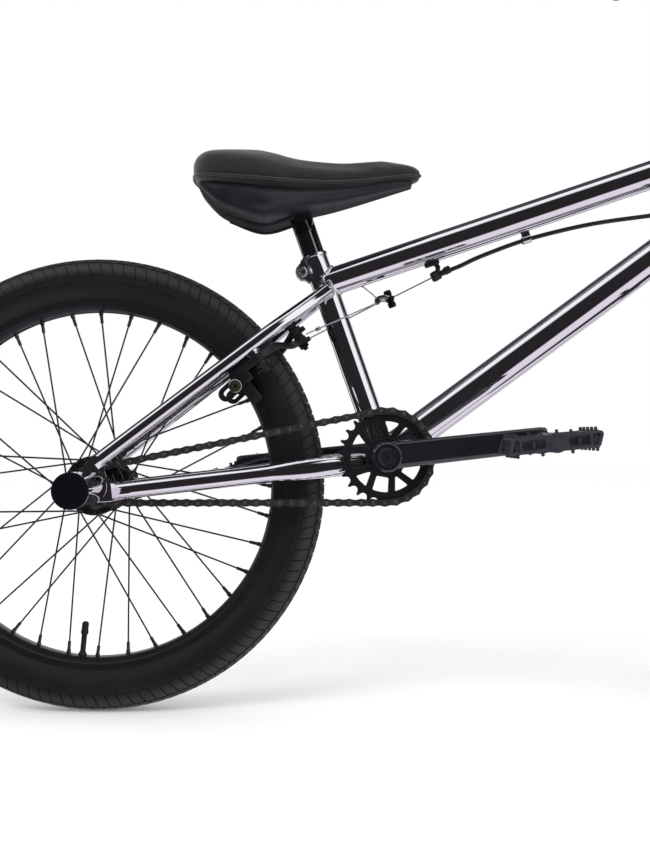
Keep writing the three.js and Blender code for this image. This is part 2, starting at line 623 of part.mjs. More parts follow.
function forkLeg() {
  const way = [
    [0, 12, -81, 12], [0, 30, -84, 13.5], [0, 43, -95, 14.5], [0, 50, -113, 15], [1, 51.5, -140, 15],
    [8, 53, -250, 13], [17, 53, -366, 9.5],
  ];
  const tube = solid(drawn(way.map(([x, y, z]) => point(x, y, z)), way.map(([, , , r]) => [r, r]), 8, 1.8));
  const x = FORK_RAKE;
  const z = -AXLE_BELOW_HEAD;
  const plate = solid(upright([
    [x - 26, z + 58], [x - 6, z + 56], [x + 3, z + 22], [x + 15, z + 12], [x + 17, z - 8],
    [x + 10, z - 20], [x + 5.4, z - 20], [x + 5.4, z], [x + 3.8, z + 3.8], [x, z + 5.4], [x - 3.8, z + 3.8],
    [x - 5.4, z], [x - 5.4, z - 20], [x - 11, z - 20], [x - 18, z - 4], [x - 20, z + 14],
  ], FRONT_DROPOUT.inner, FRONT_DROPOUT.outer));
  const crownKeepOut = solid(rod(point(0, 0, -120), point(0, 0, -60), 20 + GAP, 16));
  return cut(join(tube, plate), crownKeepOut);
}

function cup(low, high, skirtLow, skirtHigh) {
  return turned([[STEERER.outer + GAP, low], [skirtLow, low], [skirtHigh, high], [STEERER.outer + GAP, high],
    [STEERER.outer + GAP, low]], 16).rotateX(Math.PI / 2);
}

const clampCentre = point(CLAMP.ahead, 0, CLAMP.up);

function stemSolid() {
  const post = rod(point(0, 0, 99), point(0, 0, 137), 20, 16);
  const neck = block(point(26, 0, 118), 52, 34, 30);
  const clamp = rod(point(CLAMP.ahead, -25, CLAMP.up), point(CLAMP.ahead, 25, CLAMP.up), 19, 16);
  const steererHole = drill(point(0, 0, 90), point(0, 0, 150), STEERER.outer + GAP, 14);
  const barHole = drill(point(CLAMP.ahead, -40, CLAMP.up), point(CLAMP.ahead, 40, CLAMP.up),
    BAR.radius + GAP, 12);
  return cut(join(solid(post), solid(neck), solid(clamp)), solid(steererHole), solid(barHole));
}

// The stem's body is behind the middle of the bar, and its face plate is in front.
function stemHalf(side) {
  const middle = CLAMP.ahead + side * (GAP / 2 + 60);
  return shell(stemSolid().intersect(solid(block(point(middle, 0, CLAMP.up), 120, 80, 80))));
}

// Points of a bend between two straight runs that meet at a corner.
function bend(before, corner, after, reach, count = 3) {
  const start = corner.clone().add(before.clone().sub(corner).setLength(reach));
  const end = corner.clone().add(after.clone().sub(corner).setLength(reach));
  return new THREE.QuadraticBezierCurve3(start, corner, end).getPoints(count);
}

function barWay(side) {
  const { rise, cornerAt, uprightAt, halfWidth, backsweep, upsweep } = BAR;
  const middle = clampCentre;
  const low = point(CLAMP.ahead, side * cornerAt, CLAMP.up);
  const high = point(CLAMP.ahead, side * uprightAt, CLAMP.up + rise);
  const reach = halfWidth - uprightAt;
  const end = point(CLAMP.ahead - reach * Math.tan(rad(backsweep)), side * halfWidth,
    CLAMP.up + rise + reach * Math.tan(rad(upsweep)));
  return { middle, low, high, end };
}

function barPath() {
  const half = (side) => {
    const { middle, low, high, end } = barWay(side);
    return [...bend(middle, low, high, 28), ...bend(low, high, end, 26), end];
  };
  return [...half(-1).reverse(), ...half(1)];
}

function handlebar() {
  return drawn(barPath(), [[BAR.radius, BAR.radius]], 8, BAR.wall);
}

// The crossbar, with ends that fit against the bar's uprights.
function crossbar() {
  const { low, high } = barWay(1);
  const end = low.clone().lerp(high, 0.62);
  const fit = BAR.radius + GAP;
  const bar = solid(rod(point(end.x, -end.y, end.z), end, 8, 8));
  const keepOut = solid(drawn(barPath(), [[fit, fit]], 8));
  return shell(cut(bar, keepOut).decompose().sort((a, b) => b.volume() - a.volume())[0]);
}

function onBar(side, share) {
  const { high, end } = barWay(side);
  return high.clone().lerp(end, share);
}

function grip(side) {
  const start = onBar(side, 0.25);
  const end = onBar(side, 1);
  const length = start.distanceTo(end);
  const bore = boreCorner(BAR.radius + GAP, 12);
  return laid(turned([[0, length + GAP], [bore, length + GAP], [bore, 0], [22, 0], [22, 3], [15.5, 4.5],
    [15.5, length - 2], [17, length], [17, length + 4.5], [0, length + 4.5]], 12), start, end);
}

const LEVER_PIVOT = point(CLAMP.ahead + 17, -214, CLAMP.up + BAR.rise);

function leverBracket() {
  const inner = onBar(-1, 0.16);
  const outer = onBar(-1, 0.24);
  const ring = solid(rod(inner, outer, 15.5, 12));
  const { x, y, z } = LEVER_PIVOT;
  const arm = solid(block(point(x - 8, y + 4, z), 22, 20, 12));
  const barrel = solid(rod(point(x + 4, y + 12, z), point(x + 4, y + 30, z), 5, 10));
  const slot = solid(block(point(x + 6, y - 8, z), 30, 30, 6.6));
  const hole = solid(drill(onBar(-1, 0), onBar(-1, 0.4), BAR.radius + GAP, 10));
  const pin = solid(rod(point(x, y, z - 6), point(x, y, z + 6), 2.6, 8));
  return shell(join(cut(join(ring, arm, barrel), slot, hole), pin));
}

function brakeLever() {
  const { x, y, z } = LEVER_PIVOT;
  const outline = [[6, 6], [9, -4], [20, -30], [24, -58], [22, -92], [16, -99], [12, -92], [14, -60],
    [10, -34], [-3, -10], [-4, 2], [0, 7]];
  const blade = solid(slab(outline, -3, 3).translate(x, y, z));
  const hole = solid(drill(point(x, y, z - 10), point(x, y, z + 10), 2.6 + GAP, 8));
  return shell(cut(blade, hole));
}

// ---------------------------------------------------------------- cable rotor and brake cables
const ROTOR = { ears: 34, low: 69, high: 77, plate: 88 };

function rotorBearing() {
  const { low, high } = ROTOR;
  const bore = STEERER.outer + GAP;
  return turned([
    [bore, low], [30, low], [33, low + 3], [33, high - 2], [30, high], [bore, high], [bore, low],
  ], 16).rotateX(Math.PI / 2);
}

function rotorTopPlate() {
  const outline = [[-16, -16], [-9, -ROTOR.ears - 6], [9, -ROTOR.ears - 6], [16, -16], [16, 16],
    [9, ROTOR.ears + 6], [-9, ROTOR.ears + 6], [-16, 16]];
  return slab(outline, ROTOR.plate, ROTOR.plate + 3, [circle(STEERER.outer + GAP, 16),
    circle(2.2, 8, 0, -ROTOR.ears), circle(2.2, 8, 0, ROTOR.ears)]);
}

// From the lever to a splitter in front of the stem, then one leg to each ear of the top plate.
function upperCable() {
  const { x, y, z } = LEVER_PIVOT;
  const main = solid(cable([
    point(x + 4, y + 30 + GAP, z), point(x + 8, -140, z - 2), point(x + 20, -80, z - 26),
    point(x + 24, -30, z - 74), point(x + 16, -4, z - 118), point(x + 12, 0, z - 146),
  ], 2.5, 12));
  const splitter = solid(rod(point(x + 12, 0, z - 160), point(x + 12, 0, z - 143), 5, 8));
  const legs = [-1, 1].map((side) => solid(cable([
    point(x + 12, side * 2.4, z - 157), point(x + 2, side * 16, z - 176),
    point(60, side * 31, 143), point(36, side * 36, 132), point(12, side * 36, 116),
    point(1, side * ROTOR.ears, 104), point(0, side * ROTOR.ears, ROTOR.plate + 3 + GAP),
  ], 2.2, 8)));
  return shell(join(main, splitter, ...legs));
}

// From the cable stop, along the underside of the top tube, then a leg on each side of the head tube.
function lowerCable() {
  const main = solid(cable([
    fromRear(390, 240.8), fromRear(410, 248.5), fromRear(433, 259.2), fromRear(478, 276),
    fromRear(524, 288.5), fromRear(570, 298), fromRear(632, 306.5),
  ], 2.5, 12));
  const splitter = solid(rod(fromRear(626, 305.5), fromRear(644, 308.5), 5, 8));
  const legs = [-1, 1].map((side) => solid(cable([
    fromRear(641, 308, side * 2.4), fromRear(668, 316, side * 20), fromRear(694, 332, side * 31),
    onSteering(-18, side * 36, -20), onSteering(-2, side * ROTOR.ears, 12),
    onSteering(0, side * ROTOR.ears, 40 - GAP),
  ], 2.2, 8)));
  return shell(join(main, splitter, ...legs));
}

// ---------------------------------------------------------------- U-brake, in its own frame
// The frame's +X is across the bike, +Y is up the seat stays and +Z is out of their front side.
const brakeFrame = new THREE.Matrix4().makeBasis(point(0, 1, 0), stayWay, stayFront)
  .setPosition(brakePivot.x, 0, brakePivot.z);
const PAD = { along: 24.4, below: 28, halfLength: 25, halfHeight: 5.5 };

// The left arm crosses over the tyre to the right, one layer nearer the stays than the right arm.
function brakeArm(side) {
  const { aside } = BRAKE_PIVOT;
  const low = side > 0 ? 11.5 : 20.5;
  const x = (value) => side * value;
  const lever = slab([[aside + 9, -6], [aside + 8, 8], [aside - 2, 22], [aside - 18, 38], [0, 50], [-14, 58],
    [-27, 58], [-28, 47], [-14, 45], [4, 36], [aside - 20, 24], [aside - 10, 8], [aside - 9, -4],
    [aside - 6, -20], [aside - 6, -34], [aside + 6, -34], [aside + 8, -18]]
    .map(([across, up]) => [x(across), up]), low, low + 8);
  const hub = rod(point(x(aside), 0, 11.5), point(x(aside), 0, 28.5), 9, 14);
  const holder = block(point(x(aside - 3), -PAD.below, 22.5), 14, 13, 22);
  const inner = RIM.halfWidth + PAD_CLEARANCE;
  const pad = block(point(x((inner + 37) / 2), -PAD.below, PAD.along), 37 - inner, 2 * PAD.halfHeight,
    2 * PAD.halfLength);
  const bore = drill(point(x(aside), 0, 0), point(x(aside), 0, 40), 4.8 + GAP, 8);
  const clamp = rod(point(x(-21), 52, low - 1), point(x(-21), 52, low + 13), 5.5, 10);
  const parts = [lever, hub, holder, pad, clamp].map(solid);
  return shell(cut(join(...parts), solid(bore)));
}

// The yoke that pulls both arms: a hanger in front of the seat tube, two wires and the brake wire.
function straddleHanger() {
  const yoke = solid(rod(point(hanger.x, -9, hanger.z), point(hanger.x, 9, hanger.z), 7, 12));
  const wires = [-1, 1].map((side) => {
    const end = point(side * 26.5, 59, side > 0 ? 32 : 23).applyMatrix4(brakeFrame);
    return solid(rod(end, point(hanger.x, side * 5, hanger.z), 0.9, 6));
  });
  const pull = solid(rod(hanger, hanger.clone().addScaledVector(pullWay, 58), 0.9, 6));
  return shell(join(yoke, pull, ...wires));
}

// ---------------------------------------------------------------- assembly
const bike = new THREE.Group();

const onBoth = (name, made, material) => {
  [['left', 1], ['right', -1]].forEach(([word, side]) => {
    bike.add(mesh(`${name}_${word}`, sided(side, made), material));
  });
};

bike.add(mesh('head_tube', headTube(), CHROME));
bike.add(mesh('top_tube', topTube(), CHROME));
bike.add(mesh('down_tube', downTube(), CHROME));
bike.add(mesh('seat_tube', seatTube(), CHROME));
bike.add(mesh('bb_shell', bracketShell(), CHROME));
onBoth('chainstay', shell(chainStay()), CHROME);
onBoth('seatstay', shell(seatStay()), CHROME);
onBoth('dropout', dropoutPlate(), CHROME);

['left', 'right'].forEach((word, i) => {
  const side = 1 - 2 * i;
  const bearing = pipe(point(0, side * 24, 0), point(0, side * 33.5, 0), BOTTOM_BRACKET.bore - GAP,
    SPINDLE_RADIUS + GAP, 20);
  const placed = mesh(`bb_bearing_${word}`, bearing, STEEL);
  placed.position.copy(bracket);
  bike.add(placed);
  bike.add(mesh(`rear_peg_${word}`, peg(side, rearAxle, REAR_DROPOUT), CHROME));
});

const rearAxleMesh = mesh('rear_axle', axle(7, REAR_DROPOUT), STEEL);
rearAxleMesh.position.copy(rearAxle);
bike.add(rearAxleMesh);
bike.add(mesh('chain', chain(), CHAIN_STEEL));
bike.add(mesh('lower_brake_cable', lowerCable(), PLASTIC));

const seat = new THREE.Group();
seat.add(mesh('seat_post', seatPost(), BLACK_METAL));
seat.add(mesh('seat_base', seatBase(), PLASTIC));
seat.add(mesh('seat_pad', seatPad(), FABRIC));
bike.add(seat);

// one wheel, with its pieces about the axle
function wheel(name, place, hubGeometry) {
  const group = new THREE.Group();
  group.position.copy(place);
  group.add(mesh(`${name}_tyre`, tyre(), RUBBER));
  group.add(mesh(`${name}_rim`, rim(), BLACK_METAL));
  group.add(mesh(`${name}_spokes`, spokes(), STEEL));
  group.add(mesh(`${name}_hub`, hubGeometry, BLACK_METAL));
  return group;
}
const rearWheel = wheel('rear', rearAxle, hub(7.6, 50, FLANGE.half + 2.5, 17));
rearWheel.add(mesh('rear_driver', driver(), BLACK_METAL));
bike.add(rearWheel);
bike.add(wheel('front', frontAxle, hub(5.6, 45, 45, 15)));

const cranks = new THREE.Group();
cranks.position.copy(bracket);
cranks.add(mesh('crank_spindle', rod(point(0, -72, 0), point(0, 72, 0), SPINDLE_RADIUS, 16), STEEL));
cranks.add(mesh('sprocket', sprocket(), BLACK_METAL));
[['right', -CRANK_TILT, 0], ['left', -CRANK_TILT, Math.PI]].forEach(([word, tilt, turn]) => {
  const side = new THREE.Group();
  // the left crank is the right one turned half round about the vertical, so both point their own way
  side.rotation.set(0, rad(tilt), turn, 'YZX');
  side.add(mesh(`crank_arm_${word}`, crankArm(), BLACK_METAL));
  side.add(mesh(`pedal_axle_${word}`, pedalAxle(), STEEL));
  const turnedPedal = pedal().translate(-CRANK_LENGTH, 0, 0)
    .rotateY(rad(PEDAL_TURN[word])).translate(CRANK_LENGTH, 0, 0);
  side.add(mesh(`pedal_${word}`, turnedPedal, PLASTIC));
  cranks.add(side);
});
bike.add(cranks);

const steering = new THREE.Group();
steering.position.copy(headCentre);
steering.rotation.y = -lean;
steering.add(mesh('headset_cup_lower', cup(-67.5, -HEAD_TUBE.half - GAP, 20, 23), STEEL));
steering.add(mesh('headset_cup_upper', cup(HEAD_TUBE.half + GAP, 67, 23, 20), STEEL));
steering.add(mesh('fork_steerer', forkSteerer(), BLACK_METAL));
const leg = shell(forkLeg());
steering.add(mesh('fork_leg_left', leg, BLACK_METAL));
steering.add(mesh('fork_leg_right', mirrored(leg), BLACK_METAL));
steering.add(mesh('stem', stemHalf(-1), BLACK_METAL));
steering.add(mesh('stem_face_plate', stemHalf(1), BLACK_METAL));
steering.add(mesh('handlebar', handlebar(), CHROME));
steering.add(mesh('handlebar_crossbar', crossbar(), CHROME));
steering.add(mesh('grip_left', grip(1), RUBBER));
steering.add(mesh('grip_right', grip(-1), RUBBER));
steering.add(mesh('lever_bracket', leverBracket(), BLACK_METAL));
steering.add(mesh('brake_lever', brakeLever(), BLACK_METAL));
steering.add(mesh('rotor_bearing', rotorBearing(), BLACK_METAL));
steering.add(mesh('rotor_top_plate', rotorTopPlate(), BLACK_METAL));
steering.add(mesh('upper_brake_cable', upperCable(), PLASTIC));
bike.add(steering);

const frontAxleMesh = mesh('front_axle', axle(5, FRONT_DROPOUT), STEEL);
frontAxleMesh.position.copy(frontAxle);
bike.add(frontAxleMesh);
bike.add(mesh('front_peg_left', peg(1, frontAxle, FRONT_DROPOUT), CHROME));
bike.add(mesh('front_peg_right', peg(-1, frontAxle, FRONT_DROPOUT), CHROME));

const brake = new THREE.Group();
brake.applyMatrix4(brakeFrame);
brake.add(mesh('brake_arm_left', brakeArm(1), BLACK_METAL));
brake.add(mesh('brake_arm_right', brakeArm(-1), BLACK_METAL));
bike.add(brake);
bike.add(mesh('straddle_hanger', straddleHanger(), STEEL));

export default bike;
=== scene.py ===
"""The looks of a 20-inch freestyle BMX bike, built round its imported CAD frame.

Forms are made in millimetres, in the row frame: +X forward, +Y to the rider's left, +Z up.
"""
import json
import math

import bmesh
import bpy
from mathutils import Matrix, Vector


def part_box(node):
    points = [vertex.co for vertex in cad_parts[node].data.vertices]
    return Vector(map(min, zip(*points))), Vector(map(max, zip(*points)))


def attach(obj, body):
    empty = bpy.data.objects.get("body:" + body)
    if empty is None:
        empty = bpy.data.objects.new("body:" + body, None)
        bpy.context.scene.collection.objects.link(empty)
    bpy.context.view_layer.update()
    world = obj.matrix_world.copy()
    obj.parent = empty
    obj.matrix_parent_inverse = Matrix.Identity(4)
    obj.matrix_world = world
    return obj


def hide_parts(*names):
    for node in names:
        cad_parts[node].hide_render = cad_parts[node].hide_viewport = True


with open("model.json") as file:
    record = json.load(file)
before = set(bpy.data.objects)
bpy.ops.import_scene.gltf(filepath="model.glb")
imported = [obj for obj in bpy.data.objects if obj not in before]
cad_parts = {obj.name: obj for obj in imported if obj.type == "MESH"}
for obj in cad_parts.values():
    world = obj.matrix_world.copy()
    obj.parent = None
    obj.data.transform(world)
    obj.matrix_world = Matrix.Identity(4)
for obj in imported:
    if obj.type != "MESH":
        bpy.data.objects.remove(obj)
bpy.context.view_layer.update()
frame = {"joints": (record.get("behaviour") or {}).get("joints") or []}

rad = math.radians
JOINTS = {joint["name"]: joint for joint in frame["joints"]}
X, Y, Z = Vector((1, 0, 0)), Vector((0, 1, 0)), Vector((0, 0, 1))
SIDES = (("left", 1), ("right", -1))


# ---------------------------------------------------------------- places, from the frame
def centre(node):
    low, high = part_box(node)
    return (low + high) * 500


def pivot(joint):
    return Vector(JOINTS[joint]["pos_m"]) * 1000


def axis(joint):
    return Vector(JOINTS[joint]["axis"])


REAR_AXLE = pivot("rear_wheel_spin")
FRONT_AXLE = pivot("front_wheel_spin")
BRACKET = pivot("crank_spin")
HEAD = pivot("steering_turn")
UP = axis("steering_turn")
AHEAD = Y.cross(UP)
SEAT_UP = axis("seat_post_slide")
POST_RADIUS = 12.7
SEAT_TOP = pivot("seat_tilt") + SEAT_UP * POST_RADIUS
SEAT_TUBE_TOP = SEAT_TOP - SEAT_UP * 52
PULL = axis("yoke_pull")
CRANK_TILT = math.atan2(pivot("pedal_right_spin").z - BRACKET.z, pivot("pedal_right_spin").x - BRACKET.x)
CRANK_LENGTH = (pivot("pedal_right_spin").xz - BRACKET.xz).length


def rear(x, z, y=0.0):
    """A point given from the rear axle."""
    return REAR_AXLE + Vector((x, y, z))


def steered(x, y, z):
    """A point in the steering frame: z up the steering axis, x ahead of it."""
    return HEAD + AHEAD * x + Y * y + UP * z


def build_camera():
    """Level, square to the bike's mid-plane, a little ahead of and above the rear axle."""
    lens = bpy.data.cameras.new("camera")
    lens.sensor_width = 36
    lens.lens = 49.3
    camera = bpy.data.objects.new("camera", lens)
    camera.location = (REAR_AXLE + Vector((256.4, -1350, 58.4))) / 1000
    camera.rotation_euler = (math.pi / 2, 0, 0)
    bpy.context.scene.collection.objects.link(camera)
    bpy.context.scene.camera = camera


build_camera()


# ---------------------------------------------------------------- forms
class Form:
    """Points and faces that can be moved and joined."""

    def __init__(self, points=(), faces=()):
        self.points = [Vector(p) for p in points]
        self.faces = [tuple(f) for f in faces]

    def add(self, other, matrix=None):
        start = len(self.points)
        matrix = matrix or Matrix()
        self.points += [matrix @ p for p in other.points]
        order = -1 if matrix.determinant() < 0 else 1
        self.faces += [tuple(start + i for i in face[::order]) for face in other.faces]
        return self

    def moved(self, matrix):
        return Form().add(self, matrix)


def joined(*forms):
    whole = Form()
    for form in forms:
        whole.add(form)
    return whole


def frame_of(place, z_axis, x_hint=X):
    """The matrix that takes +Z to z_axis and +X near x_hint, at a place."""
    z = Vector(z_axis).normalized()
    x = Vector(x_hint) - z * z.dot(Vector(x_hint))
    if x.length < 1e-3:
        x = Y - z * z.dot(Y)
    x.normalize()
    y = z.cross(x)
    matrix = Matrix((x, y, z)).transposed().to_4x4()
    matrix.translation = place
    return matrix


def loft(rings, closed=False, caps=True):
    """Skins rings that have the same number of points."""
    count = len(rings[0])
    faces = []
    for row in range(len(rings) if closed else len(rings) - 1):
        a = row * count
        b = (row + 1) % len(rings) * count
        faces += [(a + i, a + (i + 1) % count, b + (i + 1) % count, b + i) for i in range(count)]
    if caps and not closed:
        last = (len(rings) - 1) * count
        faces.append(tuple(range(count))[::-1])
        faces.append(tuple(range(last, last + count)))
    return Form([p for ring in rings for p in ring], faces)


def circle(radius, count=32, start=0.0, end=360.0):
    """Points of a circle, or of an arc with both its ends."""
    whole = abs(end - start) == 360
    steps = count if whole else count - 1
    angles = [rad(start + (end - start) * i / steps) for i in range(count)]
    return [Vector((radius * math.cos(a), radius * math.sin(a))) for a in angles]


def squared_circle(count, power):
    """Points of a unit circle, pushed out towards a square's corners as the power falls below 1."""
    return [[math.copysign(abs(v) ** power, v) for v in p] for p in circle(1, count)]


def level_ring(radius, height, sides):
    return [Vector((p.x, p.y, height)) for p in circle(radius, sides)]


def turned(profile, sides=48, closed=False):
    """A profile of (radius, height) pairs turned about +Z."""
    return loft([level_ring(max(radius, 1e-5), height, sides) for radius, height in profile], closed, caps=False)


def along(form, place, direction, x_hint=X):
    return form.moved(frame_of(place, direction, x_hint))


def rounded(low, high, radius, edge):
    """The profile of a short cylinder with rounded edges, for turned()."""
    corner = [(radius - edge + edge * math.sin(rad(a)), edge * (1 - math.cos(rad(a)))) for a in (0, 30, 60, 90)]
    bottom = [(r, low + h) for r, h in corner]
    top = [(r, high - h) for r, h in reversed(corner)]
    return [(0, low), *bottom, *top, (0, high)]


def sweep(path, sizes, sides=24, closed=False, first=Y, power=1.0):
    """A tube along a path. sizes gives (half width along first, half height) once or per point."""
    path = [Vector(p) for p in path]
    count = len(path)
    across = None
    rings = []
    for i, place in enumerate(path):
        before = path[(i - 1) % count] if closed or i else place
        after = path[(i + 1) % count] if closed or i < count - 1 else place
        ahead = (after - before).normalized()
        across = (across or Vector(first)) - ahead * ahead.dot(across or Vector(first))
        if across.length < 1e-4:
            across = X - ahead * ahead.dot(X)
        across.normalize()
        over = ahead.cross(across)
        half_width, half_height = sizes[i] if isinstance(sizes[0], (tuple, list)) else sizes
        rings.append([place + across * c * half_width + over * s * half_height
                      for c, s in squared_circle(sides, power)])
    return loft(rings, closed)


def bent(corners, radii, steps=8):
    """A path through corners, each rounded by an arc-like curve that starts its radius away."""
    corners = [Vector(c) for c in corners]
    path = [corners[0]]
    for before, corner, after, reach in zip(corners, corners[1:], corners[2:], radii):
        start = corner + (before - corner).normalized() * reach
        end = corner + (after - corner).normalized() * reach
        for i in range(steps + 1):
            t = i / steps
            path.append(start * (1 - t) ** 2 + corner * 2 * t * (1 - t) + end * t * t)
    path.append(corners[-1])
    return path


def smooth_path(points, steps=8):
    """A Catmull-Rom curve through points."""
    points = [Vector(p) for p in points]
    ends = [points[0] * 2 - points[1], *points, points[-1] * 2 - points[-2]]
    path = []
    for a, b, c, d in zip(ends, ends[1:], ends[2:], ends[3:]):
        for i in range(steps):
            t = i / steps
            path.append(0.5 * (2 * b + (c - a) * t + (2 * a - 5 * b + 4 * c - d) * t ** 2
                               + (3 * b - a - 3 * c + d) * t ** 3))
    return [*path, points[-1]]


def plate(outline, low, high, holes=(), edge=0.4):
    """A flat outline with holes, thick along +Z, with softened edges."""
    curve = bpy.data.curves.new("plate", "CURVE")
    curve.dimensions = "2D"
    curve.fill_mode = "BOTH"
    curve.extrude = (high - low) / 2 - edge
    curve.bevel_depth = edge
    curve.bevel_resolution = 1
    curve.offset = -edge
    for loop in (outline, *holes):
        spline = curve.splines.new("POLY")
        spline.points.add(len(loop) - 1)
        for target, source in zip(spline.points, loop):
            target.co = (source[0], source[1], 0, 1)
        spline.use_cyclic_u = True
    holder = bpy.data.objects.new("plate", curve)
    mesh = holder.to_mesh()
    lift = Vector((0, 0, (low + high) / 2))
    form = Form([v.co + lift for v in mesh.vertices], [tuple(p.vertices) for p in mesh.polygons])
    holder.to_mesh_clear()
    bpy.data.objects.remove(holder)
    bpy.data.curves.remove(curve)
    return form


STAND = Matrix.Rotation(math.pi / 2, 4, "X")


def sideways(form):
    """Stands a flat form up: its +Y becomes +Z, and its thickness runs along -Y."""
    return form.moved(STAND)


def block(x, y, z, edge=1.0):
    """A box about the origin with rounded edges."""
    shape = bmesh.new()
    bmesh.ops.create_cube(shape, size=1)
    bmesh.ops.scale(shape, vec=(x, y, z), verts=shape.verts)
    bmesh.ops.bevel(shape, geom=shape.edges[:], offset=edge, segments=3, profile=0.5, affect="EDGES")
    shape.verts.index_update()
    form = Form([v.co.copy() for v in shape.verts], [tuple(v.index for v in f.verts) for f in shape.faces])
    shape.free()
    return form


def six_sided(reach, height, sides, corner=math.inf):
    """A ring round a hexagon whose flats are reach from its middle, with its corners cut at a radius."""
    ring = []
    for i in range(sides):
        angle = 2 * math.pi * i / sides
        off_flat = (angle + math.pi / 6) % (math.pi / 3) - math.pi / 6
        r = min(reach / math.cos(off_flat), corner)
        ring.append(Vector((r * math.cos(angle), r * math.sin(angle), height)))
    return ring


def socket_head(radius, height, socket, depth, sides=24):
    """A round bolt head with a six-sided socket, standing on the origin along +Z."""
    edge = min(radius, height) * 0.22
    outside = [(radius, 0), (radius, height - edge), (radius - edge * 0.3, height - edge * 0.3),
               (radius - edge, height), (socket * 1.25, height)]
    return loft([
        *(level_ring(r, z, sides) for r, z in outside), six_sided(socket, height - 0.2, sides),
        six_sided(socket * 0.97, height - depth, sides), level_ring(0.01, height - depth - 0.3, sides),
    ])


def hex_nut(across_flats, height, bore):
    """A six-sided nut with chamfered corners, standing on the origin along +Z."""
    half = across_flats / 2
    corner = half / math.cos(math.pi / 6)
    profile = [(bore, 0, bore), (half, 0, half * 1.02), (half, height * 0.15, corner), (half, height * 0.85, corner),
               (half, height, half * 1.02), (bore, height, bore)]
    return loft([six_sided(reach, z, 24, cut) for reach, z, cut in profile], closed=True)


# ---------------------------------------------------------------- materials
def nodes_of(name):
    material = bpy.data.materials.new(name)
    material.use_nodes = True
    nodes = material.node_tree.nodes
    return material, nodes, material.node_tree.links, nodes["Principled BSDF"]


def noise(nodes, links, scale, detail):
    """A noise texture in object space, so that it moves with its piece."""
    place = nodes.new("ShaderNodeTexCoord")
    texture = nodes.new("ShaderNodeTexNoise")
    texture.inputs["Scale"].default_value = scale
    texture.inputs["Detail"].default_value = detail
    links.new(place.outputs["Object"], texture.inputs["Vector"])
    return texture.outputs["Fac"]


def spread(nodes, links, value, low, high):
    """Maps the middle of a noise texture's values to a range."""
    node = nodes.new("ShaderNodeMapRange")
    for name, number in (("From Min", 0.3), ("From Max", 0.7), ("To Min", low), ("To Max", high)):
        node.inputs[name].default_value = number
    links.new(value, node.inputs["Value"])
    return node.outputs["Result"]


def colour_mix(nodes):
    node = nodes.new("ShaderNodeMix")
    node.data_type = "RGBA"
    return node


def mixed(nodes, links, value, first, second):
    node = colour_mix(nodes)
    node.inputs["A"].default_value = (*first, 1)
    node.inputs["B"].default_value = (*second, 1)
    links.new(value, node.inputs["Factor"])
    return node.outputs["Result"]


def finish(name, dark, light, roughness, metallic=0.0, mottle=60.0, grain=900.0, bump=0.0, coat=0.0,
           coat_roughness=0.05, sheen=0.0, specular=0.5):
    """A surface whose colour drifts between two tones, with its own roughness drift and fine relief."""
    material, nodes, links, shader = nodes_of(name)
    drift = noise(nodes, links, mottle, 5)
    links.new(mixed(nodes, links, drift, dark, light), shader.inputs["Base Color"])
    links.new(spread(nodes, links, drift, *roughness), shader.inputs["Roughness"])
    shader.inputs["Metallic"].default_value = metallic
    shader.inputs["Coat Weight"].default_value = coat
    shader.inputs["Coat Roughness"].default_value = coat_roughness
    shader.inputs["Sheen Weight"].default_value = sheen
    shader.inputs["Specular IOR Level"].default_value = specular
    if bump:
        relief = nodes.new("ShaderNodeBump")
        relief.inputs["Distance"].default_value = bump / 1000
        links.new(noise(nodes, links, grain, 6), relief.inputs["Height"])
        links.new(relief.outputs["Normal"], shader.inputs["Normal"])
    return material


CHROME = finish("chrome", (0.80, 0.79, 0.83), (0.86, 0.85, 0.88), (0.02, 0.05), metallic=1, mottle=14, grain=30,
                bump=0.005)
BLACK_PAINT = finish("black_paint", (0.010, 0.010, 0.013), (0.016, 0.016, 0.020), (0.20, 0.30), mottle=40,
                     grain=700, bump=0.01, coat=0.5, coat_roughness=0.12)
BLACK_GLOSS = finish("black_gloss", (0.004, 0.004, 0.006), (0.008, 0.008, 0.010), (0.10, 0.16), mottle=30,
                     grain=500, bump=0.006, coat=0.4)
BLACK_ANODISED = finish("black_anodised", (0.010, 0.010, 0.013), (0.018, 0.018, 0.022), (0.30, 0.40), metallic=0.4,
                        mottle=50, grain=1500, bump=0.006)
STEEL = finish("steel", (0.36, 0.36, 0.38), (0.52, 0.52, 0.54), (0.22, 0.36), metallic=1, mottle=90, grain=900,
               bump=0.01)
CHAIN_STEEL = finish("chain_steel", (0.052, 0.047, 0.048), (0.105, 0.095, 0.095), (0.28, 0.42), metallic=0.75,
                     mottle=120, grain=1200, bump=0.02)
PIN_STEEL = finish("pin_steel", (0.20, 0.19, 0.19), (0.34, 0.32, 0.32), (0.28, 0.4), metallic=0.9, mottle=300)
TYRE = finish("tyre_rubber", (0.0055, 0.0055, 0.0075), (0.0105, 0.0105, 0.0125), (0.46, 0.62), mottle=25, grain=1600,
              bump=0.05, sheen=0.02, specular=0.32)
GRIP = finish("grip_rubber", (0.006, 0.006, 0.008), (0.011, 0.011, 0.013), (0.55, 0.70), mottle=70, grain=1300,
              bump=0.06, sheen=0.04, specular=0.35)
NYLON = finish("nylon", (0.007, 0.007, 0.010), (0.013, 0.013, 0.018), (0.36, 0.48), mottle=60, grain=1100,
               bump=0.04, specular=0.4)
HOUSING = finish("cable_housing", (0.008, 0.008, 0.009), (0.013, 0.013, 0.015), (0.16, 0.26), mottle=60, grain=900,
                 bump=0.008)
CAP = finish("cap_plastic", (0.0022, 0.0026, 0.0045), (0.0040, 0.0044, 0.0065), (0.22, 0.30), mottle=50, grain=900,
             bump=0.006, specular=0.16)
